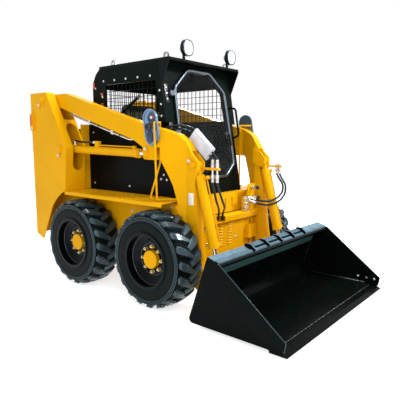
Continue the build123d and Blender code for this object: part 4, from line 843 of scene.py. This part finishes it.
def tail_lamp_faces():
    """Two red and two pale strips on each lamp's outer face, and one of each on its rear face."""
    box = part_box("tail_lamps")
    x = box[1][0]
    middle = FOOT - (box[0][1] + box[1][1]) / 2
    rear = FOOT - box[1][1] + 0.0005
    red = []
    pale = []
    for side, sign in SIDES:
        out = (sign, 0, 0)
        strips = [(0.0085, sign * (x - 0.0005), middle + step, out) for step in (-0.011, 0.013)]
        strips.append((0.012, sign * (x - 0.0105), rear, REAR))
        for width, across, ahead, facing in strips:
            red.append(slab(width, 0.098, 0.0035, at(across, ahead, 1.492), facing, bevel=0.001))
            pale.append(slab(width, 0.022, 0.0035, at(across, ahead, 1.423), facing, bevel=0.001))
    piece("tail_lamp_reds", red, "red_lens", "frame")
    piece("tail_lamp_whites", pale, "pale_lens", "frame")


work_lamp_faces()
tail_lamp_faces()


# ---- cab
CAB_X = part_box("cab_frame")[1][0]
PANEL_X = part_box("body_side_panels")[1][0]
# bolts on the cab's side and on the panel under it: (ahead, height)
CAB_SIDE_BOLTS = [(0.328, 1.711), (0.343, 1.6), (0.349, 1.506)]
CAB_SIDE_BOLTS += [(-0.5, z) for z in (1.5, 1.64, 1.78)]
CAB_SIDE_BOLTS += [(-0.38 + 0.15 * i, 1.835) for i in range(5)]
SIDE_PANEL_BOLTS = ((0.331, 1.023), (0.298, 0.985), (0.363, 0.983), (0.414, 1), (0.423, 0.974),
                    (-0.6, 0.9), (-0.6, 1.38), (-0.1, 1.38), (-0.1, 0.9))
LATCH_KNOB = ((0, 0), (0.01, 0), (0.012, 0.007), (0.009, 0.012), (0, 0.013))


def cab_details():
    small = dict(across=0.013, head=0.006, washer=0.0095)
    for side, sign in SIDES:
        out = (sign, 0, 0)
        spots = [at(sign * CAB_X, ahead, z) for ahead, z in CAB_SIDE_BOLTS]
        bolts(f"cab_side_bolts_{side}", spots, out, "zinc", "frame", **small)
        spots = [at(sign * PANEL_X, ahead, z) for ahead, z in SIDE_PANEL_BOLTS]
        bolts(f"side_panel_bolts_{side}", spots, out, "zinc", "frame", **small)
        clips = []
        knobs = []
        for z in (1.637, 1.728):
            clip = at(sign * CAB_X, -0.4, z - 0.018)
            clips.append(slab(0.02, 0.046, 0.004, clip, out, radius=0.005, bevel=0.001))
            knobs.append(lathe(LATCH_KNOB, at(sign * (CAB_X + 0.0035), -0.4, z - 0.006), out, 20))
        piece(f"window_latch_plates_{side}", clips, "zinc", "frame")
        piece(f"window_latch_knobs_{side}", knobs, "red_lens", "frame")
        marker = at(sign * CAB_X, -0.517, 1.805)
        base = slab(0.032, 0.06, 0.006, marker, out, radius=0.008)
        piece(f"rear_marker_base_{side}", [base], "knob_black", "frame")
        cover = dome(0.024, 0.05, 0.009, 0.007, marker + Vector((sign * 0.006, 0, 0)), out)
        piece(f"rear_marker_{side}", [cover], "red_lens", "frame")


SLOPE_FALL = 0.18                  # the cab's front leans back by this over a rise of SLOPE_RISE
SLOPE_RISE = 1.04


def on_slope(x, z, out=0):
    """Point on the cab's sloping front at height z, moved out of it."""
    lean = math.atan2(SLOPE_FALL, SLOPE_RISE)
    ahead = 0.5 - (z - 0.86) / SLOPE_RISE * SLOPE_FALL
    return at(x, ahead + out * math.cos(lean), z + out * math.sin(lean))


SLOPE_OUT = (on_slope(0, 1, 1) - on_slope(0, 1, 0)).normalized()
SLOPE_UP = (on_slope(0, 2) - on_slope(0, 1)).normalized()

HINGE_X = -0.428
# left half of the door opening's inner seal, (x, height)
DOOR_SEAL = ((0.136, 1.893), (0.327, 1.735), (0.342, 1.3), (0.342, 1.094), (0.204, 0.99))


def door_details():
    spots = [on_slope(HINGE_X, z) for z in (1.735, 1.69, 1.645, 1.425, 1.38, 1.335)]
    bolts("door_hinge_bolts", spots, SLOPE_OUT, "zinc", "frame", 0.016, 0.007, 0.011)
    leaves = []
    for z in (1.69, 1.38):
        leaves.append(slab(0.04, 0.15, 0.005, on_slope(HINGE_X, z), SLOPE_OUT, SLOPE_UP, 0.006))
    piece("door_hinge_leaves", leaves, "knob_black", "frame")
    loop = [on_slope(x, z, 0.0025) for x, z in DOOR_SEAL]
    loop += [on_slope(-x, z, 0.0025) for x, z in reversed(DOOR_SEAL)]
    piece("door_seal", [bar_shape(loop, 0.0045, 8, True)], "seal", "frame")
    x = 0.3
    handle = [on_slope(x, 1.345, 0.03), on_slope(x, 1.345, 0.052), on_slope(x, 1.25, 0.056)]
    foot = dome(0.044, 0.07, 0.014, 0.008, on_slope(x, 1.345, 0.021), SLOPE_OUT, SLOPE_UP)
    piece("door_lever", [bar_shape(handle, 0.008), foot], "knob_black", "cab_door")


cab_details()
door_details()


LEVER_KNOB = ((0, -0.03), (0.013, -0.028), (0.019, -0.01), (0.024, 0.012), (0.022, 0.026), (0.012, 0.036),
              (0, 0.038))
LAP_BAR_KNOB = ((0, -0.014), (0.011, -0.012), (0.018, 0), (0.017, 0.01), (0.01, 0.018), (0, 0.02))


def cab_inside():
    """Boots and knobs on the levers, and a lap bar."""
    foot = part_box("control_levers")[0][2]
    boot = [(0, 0), (0.05, 0), (0.05, 0.008)]
    for fold in range(5):
        boot.append((0.044 - 0.006 * fold, 0.014 + 0.016 * fold))
        boot.append((0.036 - 0.005 * fold, 0.02 + 0.016 * fold))
    boot += [(0.012, 0.094), (0, 0.094)]
    boots = []
    knobs = []
    for side, sign in SIDES:
        x = sign * 0.19
        boots.append(lathe(boot, at(x, 0.15, foot), UP, 28))
        knobs.append(lathe(LEVER_KNOB, at(x, 0.213, 1.345), (0, -0.3, 0.95), 28))
    piece("lever_boots", boots, "seal", "frame")
    piece("lever_knobs", knobs, "knob_black", "frame")
    bar = [at(-0.3, -0.41, 1.52), at(-0.3, -0.36, 1.56), at(-0.3, -0.12, 1.69)]
    tube("lap_bar", bar, 0.014, "knob_black", "frame")
    ball = lathe(LAP_BAR_KNOB, at(-0.3, -0.11, 1.696), (0, -0.88, 0.47), 24)
    piece("lap_bar_knob", [ball], "knob_white", "frame")


cab_inside()


# ---- seat
def evaluated(made):
    """Mesh of an object with its modifiers applied."""
    graph = bpy.context.evaluated_depsgraph_get()
    return bpy.data.meshes.new_from_object(made.evaluated_get(graph))


def swell(pad, most):
    """Blows a pad up with a short cloth run; no point moves further than most."""
    mesh = pad.data
    still = [vertex.co.copy() for vertex in mesh.vertices]
    cloth = pad.modifiers.new("cloth", "CLOTH")
    cloth.settings.use_pressure = True
    cloth.settings.uniform_pressure_force = 4
    cloth.settings.effector_weights.gravity = 0
    cloth.settings.quality = 5
    for step in range(1, 21):
        bpy.context.scene.frame_set(step)
    swollen = evaluated(pad)
    pad.modifiers.clear()
    for vertex, origin, moved in zip(mesh.vertices, still, swollen.vertices):
        move = moved.co - origin
        if move.length > most:
            move *= most / move.length
        vertex.co = origin + move
    bpy.data.meshes.remove(swollen)
    bpy.context.scene.frame_set(1)


def cushion(name, outline, thick, matrix, most):
    """Pad on an outline, remeshed evenly and blown up by at most a distance."""
    start = new_object(name + "_start", mesh_from(name, prism(outline, 0, thick, matrix, 0.012, 3)))
    remesh = start.modifiers.new("remesh", "REMESH")
    remesh.mode = "VOXEL"
    remesh.voxel_size = 0.0065
    mesh = evaluated(start)
    bpy.data.objects.remove(start)
    pad = new_object(name, mesh)
    swell(pad, most)
    mesh.update()
    finer = pad.modifiers.new("finer", "SUBSURF")
    finer.levels = 1
    finer.render_levels = 1
    mesh.materials.clear()
    mesh.materials.append(M["vinyl"])
    mesh.shade_smooth()
    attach(pad, "frame")
    return pad


FLAT = (UP, FRONT)                 # how the seat's pan and its back lie: facing, long side
LEANING = ((0, -1, 0.13), (0, 0.13, 1))


def seat():
    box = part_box("seat")
    low = box[0][2]
    wide = box[1][0] - box[0][0]
    edge = wide / 2 - 0.042
    # name, width, length, corner, thickness, x, ahead, height, how it lies, most swell, fill
    rows = [("seat_cushion", wide - 0.15, 0.33, 0.05, 0.052, 0, -0.135, 0.036, FLAT, 0.014, 0.8),
            ("seat_back_cushion", wide - 0.15, 0.36, 0.05, 0.046, 0, -0.395, 0.3, LEANING, 0.014, 0.8)]
    for side, sign in SIDES:
        x = sign * edge
        rows.append((f"seat_bolster_{side}", 0.062, 0.33, 0.028, 0.066, x, -0.135, 0.036, FLAT, 0.008, 0.9))
        rows.append((f"back_bolster_{side}", 0.062, 0.34, 0.028, 0.062, x, -0.397, 0.3, LEANING, 0.008, 0.9))
    pads = []
    for name, width, length, corner, thick, x, ahead, height, lie, most, fill in rows:
        matrix = stand(at(x, ahead, low + height), *lie)
        pads.append(cushion(name, rounded(width, length, corner, 5), thick, matrix, most))
    pan = slab(wide - 0.02, 0.4, 0.03, at(0, -0.155, low + 0.003), *FLAT, 0.05, 0.01)
    back = slab(wide - 0.02, 0.48, 0.03, at(0, -0.425, low + 0.285), *LEANING, 0.06, 0.01)
    shell = piece("seat_shell", [pan, back], "cab_plastic", "frame")
    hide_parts("seat")
    for pad in pads:
        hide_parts("seat")


seat()


# ---- arms and their piping
LOCK_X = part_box("lock_plates")[1][0]
LOCK_KNOB = ((0, 0), (0.026, 0), (0.031, 0.004), (0.031, 0.016), (0.026, 0.022), (0.014, 0.024),
             (0.012, 0.018), (0, 0.018))
DISH = ((0, 0.002), (0.03, 0.002), (0.036, 0.0035), (0.043, 0.0075), (0.0475, 0.0075), (0.05, 0.004),
        (0.05, 0))
BUTTON = ((0, 0), (0.0115, 0), (0.0105, 0.003), (0.006, 0.005), (0, 0.0055))


def lock_plate_details():
    dishes = []
    knobs = []
    rims = []
    spots = []
    for side, sign in SIDES:
        out = (sign, 0, 0)
        knobs.append(lathe(LOCK_KNOB, at(sign * LOCK_X, 0.412, 1.412), out, 36))
        face = sign * (LOCK_X - 0.0262)
        dishes.append(lathe(DISH, at(face, 0.424, 1.482), out, 48))
        lower = at(face, 0.398, 1.34)
        dishes.append(slab(0.064, 0.096, 0.006, lower, out, (0, 0.174, 0.985), 0.031, 0.002))
        button = face + sign * 0.002
        rims.append(lathe(BUTTON, at(button, 0.413, 1.486), out, 28))
        spots.append(lathe(BUTTON, at(button, 0.4355, 1.487), out, 28))
    piece("lock_dishes", dishes, "dish", "loader_arms")
    piece("lock_knobs", knobs, "knob_black", "loader_arms")
    piece("lock_spot_rims", rims, "pale_lens", "loader_arms")
    piece("lock_spots", spots, "red_lens", "loader_arms")


def blank_plates():
    for side, sign in SIDES:
        plate = slab(0.052, 0.094, 0.0012, at(sign * 0.522, 0.7, 0.858), (sign, 0, 0), bevel=0.0004)
        piece(f"blank_plate_{side}", [plate], "label", "loader_arms")


SLEEVE_X = -0.4147
SLEEVE_ROUND = 0.0195              # radius of the cover's two round ends
SLEEVE_FLAT = 0.0425               # half the length of the straight sides between them


def sleeve_outline():
    """The cover's section, walked in steps of about 2 mm and pressed into ribs 12 mm apart."""
    ends = []
    for i in range(96):
        turn = 2 * math.pi * i / 96
        shift = SLEEVE_FLAT if math.sin(turn) > 0 else -SLEEVE_FLAT
        ends.append(Vector((SLEEVE_ROUND * math.cos(turn), SLEEVE_ROUND * math.sin(turn) + shift)))
    outline = []
    for start, end in zip(ends, ends[1:] + ends[:1]):
        steps = max(1, round((end - start).length / 0.002))
        for k in range(steps):
            x, y = start.lerp(end, k / steps)
            outline.append((x * (1 + 0.07 * math.cos(y * 2 * math.pi / 0.012)), y))
    return outline


def sleeve_cover():
    """Ribbed pale cover over the two hoses on the right gooseneck."""
    top = at(SLEEVE_X, 0.632, 1.356)
    foot = at(SLEEVE_X, 0.803, 1.204)
    run = (foot - top).normalized()
    across = Vector((1, 0, 0))
    matrix = Matrix.Translation(top) @ Matrix((across, across.cross(run), run)).transposed().to_4x4()
    made = prism(sleeve_outline(), 0, (foot - top).length, matrix)
    piece("hose_sleeve", [made], "sleeve", "loader_arms")


# hose ends: the point (x, ahead, height) and the way out of it (x, ahead, height)
ARM_HOSE_ENDS = [((-0.526, 0.252, 1.352), (0, 0.995, 0.102)), ((-0.526, 0.252, 1.378), (0, 0.995, 0.103))]
ARM_HOSE_ENDS += [((0.306, 0.722, 0.752), (0.786, 0.512, -0.376))]
ARM_HOSE_ENDS += [((0.306, 0.72, 0.78), (0.785, 0.519, -0.308))]
ARM_HOSE_ENDS += [((-0.41, ahead, 1.13), (0, 0, 1)) for ahead in (0.822, 0.868)]
ARM_HOSE_ENDS += [((-0.41, ahead, 1.022), (0, 0, -1)) for ahead in (0.822, 0.868)]
ARM_HOSE_ENDS += [((0.537, ahead, 1.036), (0, 0, -1)) for ahead in (0.866, 0.836)]
LIFT_HOSE_ENDS = [((x, -0.3454, 1.2887), (0, -1, 0)) for x in (0.61, -0.61)]
LIFT_HOSE_ENDS += [((x, -0.661, 1.2683), (0, 0, 1)) for x in (0.61, -0.61)]


def hose_ends(body, ends):
    shapes = []
    for spot, (dx, ahead, dz) in ends:
        shapes += ferrule(at(*spot), Vector((dx, -ahead, dz)), 0.0122, 0.034)
    sharp_piece("hose_ferrules_" + body, shapes, "zinc", body)


COUPLER_CAP = ((0, 0), (0.0165, 0), (0.0175, 0.003), (0.0175, 0.016), (0.014, 0.019), (0, 0.02))
COUPLER_RING = ((0.0185, 0), (0.0195, 0.002), (0.0195, 0.01), (0.0185, 0.012), (0.016, 0.012),
                (0.016, 0), (0.0185, 0))


def manifold_details():
    plugs = []
    for x in (0.224, 0.254):
        for z in (0.705, 0.742, 0.779):
            plugs += hex_bolt(at(x, 0.704, z), FRONT, 0.021, 0.012, 0.0125)
    sharp_piece("manifold_plugs", plugs, "brass_zinc", "loader_arms")
    caps = []
    rings = []
    for x, z in ((0.335, 0.88), (0.352, 0.79)):
        caps.append(lathe(COUPLER_CAP, at(x, 0.752, z), FRONT, 28))
        rings.append(lathe(COUPLER_RING, at(x, 0.696, z), FRONT, 28))
    piece("coupler_caps", caps, "knob_black", "loader_arms")
    piece("coupler_rings", rings, "brass_zinc", "loader_arms")


PIPE_TAG = ((0.0072, -0.008), (0.0088, -0.007), (0.0088, 0.007), (0.0072, 0.008), (0.0072, -0.008))


def pipe_tags():
    """Rings on the two pipes that run down the right arm's beam."""
    tags = []
    for ahead in (-0.665, -0.28, 0):
        z = 1.489 - (ahead + 0.5) * 0.2827
        for x in (-0.6, -0.624):
            tags.append(lathe(PIPE_TAG, at(x, ahead, z), (0, -0.962, -0.272), 20))
    piece("pipe_tags", tags, "tag", "loader_arms")


lock_plate_details()
blank_plates()
sleeve_cover()
hose_ends("loader_arms", ARM_HOSE_ENDS)
hose_ends("lift_barrels", LIFT_HOSE_ENDS)
manifold_details()
pipe_tags()


# ---- nose and lower frame
def nose_ahead(z):
    """How far ahead the nose panel's face is at a height."""
    return 0.65 + (z - 0.25) * 0.0402


def nose_details():
    louvres = []
    for x in (-0.085, 0.045):
        for i in range(8):
            z = 0.408 + 0.0245 * i
            place = at(x, nose_ahead(z) - 0.0005, z)
            louvres.append(slab(0.05, 0.009, 0.01, place, (0, -1, -0.5), radius=0.003))
    piece("nose_louvres", louvres, "pale_yellow", "frame")
    spots = [(0.139, 0.45), (-0.27, 0.446), (-0.307, 0.575), (-0.15, 0.3), (0.15, 0.3)]
    bolts("nose_bolts", [at(x, nose_ahead(z), z) for x, z in spots], (0, -1, 0.04), "zinc", "frame")


def wall_details():
    """Bolts on the lower frame's side walls and round the axle flanges."""
    for side, sign in SIDES:
        out = (sign, 0, 0)
        wall = [at(sign * WALL_X, ahead, z) for ahead, z in ((0.042, 0.702), (0.516, 0.699), (0.5, 0.772))]
        bolts(f"wall_bolts_{side}", wall, out, "zinc", "frame")
        ring = []
        for axle, ahead in AXLES:
            for i in range(8):
                turn = 2 * math.pi * (i + 0.5) / 8
                z = TYRE_R + FLANGE_CIRCLE * math.sin(turn)
                spot = at(sign * (WALL_X + 0.012), ahead + FLANGE_CIRCLE * math.cos(turn), z)
                ring += hex_bolt(spot, out, 0.019, 0.009, 0, i)
        sharp_piece(f"axle_flange_bolts_{side}", ring, "zinc", "frame")


def rear_details():
    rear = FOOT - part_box("rear_door")[1][1] + 0.01
    mesh = slab(0.76, 0.49, 0.002, at(0, rear + 0.0085, 0.98), REAR, radius=0.02, bevel=0.0005)
    piece("rear_grille_screen", [mesh], "screen", "rear_door")
    seal = bezel(0.94, 0.83, 0.02, 0.012, 0.008, at(0, rear + 0.036, 0.885), FRONT, steps=4)
    piece("rear_door_seal", [seal], "seal", "rear_door")
    spots = [at(x, rear, z) for x in (0.43, -0.43) for z in (0.5, 0.7)]
    bolts("rear_door_bolts", spots, REAR, "zinc", "rear_door", 0.016, 0.006, 0.012)


nose_details()
wall_details()
rear_details()


# ---- bucket
BUCKET_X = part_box("bucket_shell")[1][0]
BUCKET_INNER = BUCKET_X - 0.01
# lines on the bucket's sides, (ahead, height): the weld to floor and back, the lip's corner, the front edge
SIDE_WELD = ((1.6, 0.04), (1.3, 0.042), (1.1, 0.044), (0.982, 0.047), (0.99, 0.14), (1.03, 0.255),
             (1.095, 0.44))
LIP_CORNER = ((1.6, 0.03), (1.66, 0.0315), (1.712, 0.034))
FRONT_EDGE = ((1.205, 0.4985), (1.2145, 0.4965), (1.7205, 0.1035), (1.7215, 0.1), (1.7105, 0.04))
# a point high on the bucket's back, the way up the back and the way out of it
BACK_TOP = at(0, 1.117, 0.533)
BACK_UP = Vector((0, -0.3287, 0.9444))
BACK_OUT = Vector((0, -0.9444, -0.3287))


def side_line(x, line):
    return [at(x, ahead, z) for ahead, z in line]


def bucket_sides():
    for side, sign in SIDES:
        weld = side_line(sign * (BUCKET_INNER - 0.001), SIDE_WELD)
        tube(f"bucket_weld_{side}", weld, 0.0048, "weld", "bucket")
        x = sign * (BUCKET_X - 0.005)
        corner = bar_shape(side_line(x, LIP_CORNER), 0.0052)
        piece(f"bucket_corner_{side}", [corner], "bucket_black", "bucket")
        # Paler bead along the side plate's front edge: a painted highlight.
        edge = bar_shape(side_line(x, FRONT_EDGE), 0.005)
        piece(f"side_edge_{side}", [edge], "edge_highlight_black", "bucket")
        heads = [at(sign * BUCKET_INNER, ahead, 0.085) for ahead in (1.532, 1.606, 1.676)]
        bolts(f"side_cutter_bolts_{side}", heads, (-sign, 0, 0), "zinc", "bucket", 0.014, 0.005, 0.01)


def bucket_back():
    lip = [at(x, 1.641, 0.0322) for x in (-BUCKET_INNER, 0, BUCKET_INNER)]
    tube("lip_weld", lip, 0.0042, "weld", "bucket")
    middle = BACK_TOP - BACK_UP * 0.136 + BACK_OUT * 0.0088
    # The plate under the lip is a real strip; its pale grey-green colour is a painted sheen.
    strip = slab(2 * BUCKET_INNER - 0.03, 0.104, 0.005, middle, BACK_OUT, BACK_UP, 0.004)
    piece("back_strip", [strip], "strip_painted_sheen", "bucket")
    row = BACK_TOP - BACK_UP * 0.103 + BACK_OUT * 0.0138
    spots = [row + Vector((x, 0, 0)) for x in (-0.72, -0.49, -0.33, -0.07, 0.08, 0.3, 0.49, 0.72)]
    bolts("back_strip_bolts", spots, BACK_OUT, "black", "bucket", 0.013, 0.005, 0)


bucket_sides()
bucket_back()


# ---- stage, lamps and camera
def seen_directly(tree):
    """Socket that is 1 for rays from the camera, from a reflection or through a clear surface."""
    path = node(tree, "LightPath").outputs
    seen = combine(tree, "MAXIMUM", path["Is Camera Ray"], path["Is Glossy Ray"])
    return combine(tree, "MAXIMUM", seen, path["Is Transmission Ray"])


def floor():
    """White ground that also glows a little where it is seen."""
    mesh = bpy.data.meshes.new("floor")
    far = 40
    mesh.from_pydata([(-far, -far, 0), (far, -far, 0), (far, far, 0), (-far, far, 0)], [], [(0, 1, 2, 3)])
    look = bpy.data.materials.new("floor_white")
    look.use_nodes = True
    tree = look.node_tree
    tree.nodes.clear()
    matt = node(tree, "BsdfDiffuse", Color=(0.82, 0.82, 0.82))
    glow = node(tree, "Emission", Strength=combine(tree, "MULTIPLY", seen_directly(tree), 0.7))
    both = node(tree, "AddShader")
    feed(tree, both.inputs[0], matt.outputs[0])
    feed(tree, both.inputs[1], glow.outputs[0])
    node(tree, "OutputMaterial", Surface=both.outputs[0])
    mesh.materials.append(look)
    new_object("floor", mesh)


def world():
    """White where it is seen, a little dimmer and cooler where it only lights."""
    made = bpy.data.worlds.new("studio")
    bpy.context.scene.world = made
    made.use_nodes = True
    tree = made.node_tree
    tree.nodes.clear()
    dim = node(tree, "Background", Color=(0.95, 0.97, 1), Strength=0.8)
    white = node(tree, "Background", Color=(1, 1, 1), Strength=1)
    mix = node(tree, "MixShader", Fac=seen_directly(tree))
    feed(tree, mix.inputs[1], dim.outputs[0])
    feed(tree, mix.inputs[2], white.outputs[0])
    node(tree, "OutputWorld", Surface=mix.outputs[0])


def lamp(name, place, target, size, power):
    data = bpy.data.lights.new(name, "AREA")
    data.shape = "RECTANGLE"
    data.size, data.size_y = size
    data.energy = power
    made = new_object(name, data)
    made.location = place
    made.rotation_euler = (Vector(target) - Vector(place)).to_track_quat("-Z", "Y").to_euler()


def camera():
    """The photo's camera, fitted to the machine's outline."""
    data = bpy.data.cameras.new("camera")
    data.lens = 40.64
    data.sensor_width = 36
    made = new_object("camera", data)
    made.location = (-3.1423, -2.7254, 1.3297)
    made.rotation_euler = (math.radians(90 - 7.8404), 0, math.radians(-50.2518))
    bpy.context.scene.camera = made


floor()
world()
lamp("key", (-3.7, -4.4, 4.3), (0, 0, 0.9), (2.4, 1.8), 105)
lamp("fill", (-4.9, -3, 1.7), (0, -0.3, 0.8), (1.6, 1.6), 40)
lamp("front", (2.2, -3.6, 4.3), (-0.3, -0.5, 0.6), (1, 1), 220)
lamp("top", (0.2, 0.4, 5.4), (0, 0.2, 1), (1.8, 1.8), 210)
lamp("rim", (4.6, 3.9, 3), (0, -0.6, 0.6), (1.8, 1.2), 190)
camera()
bpy.context.scene.view_settings.view_transform = "Standard"
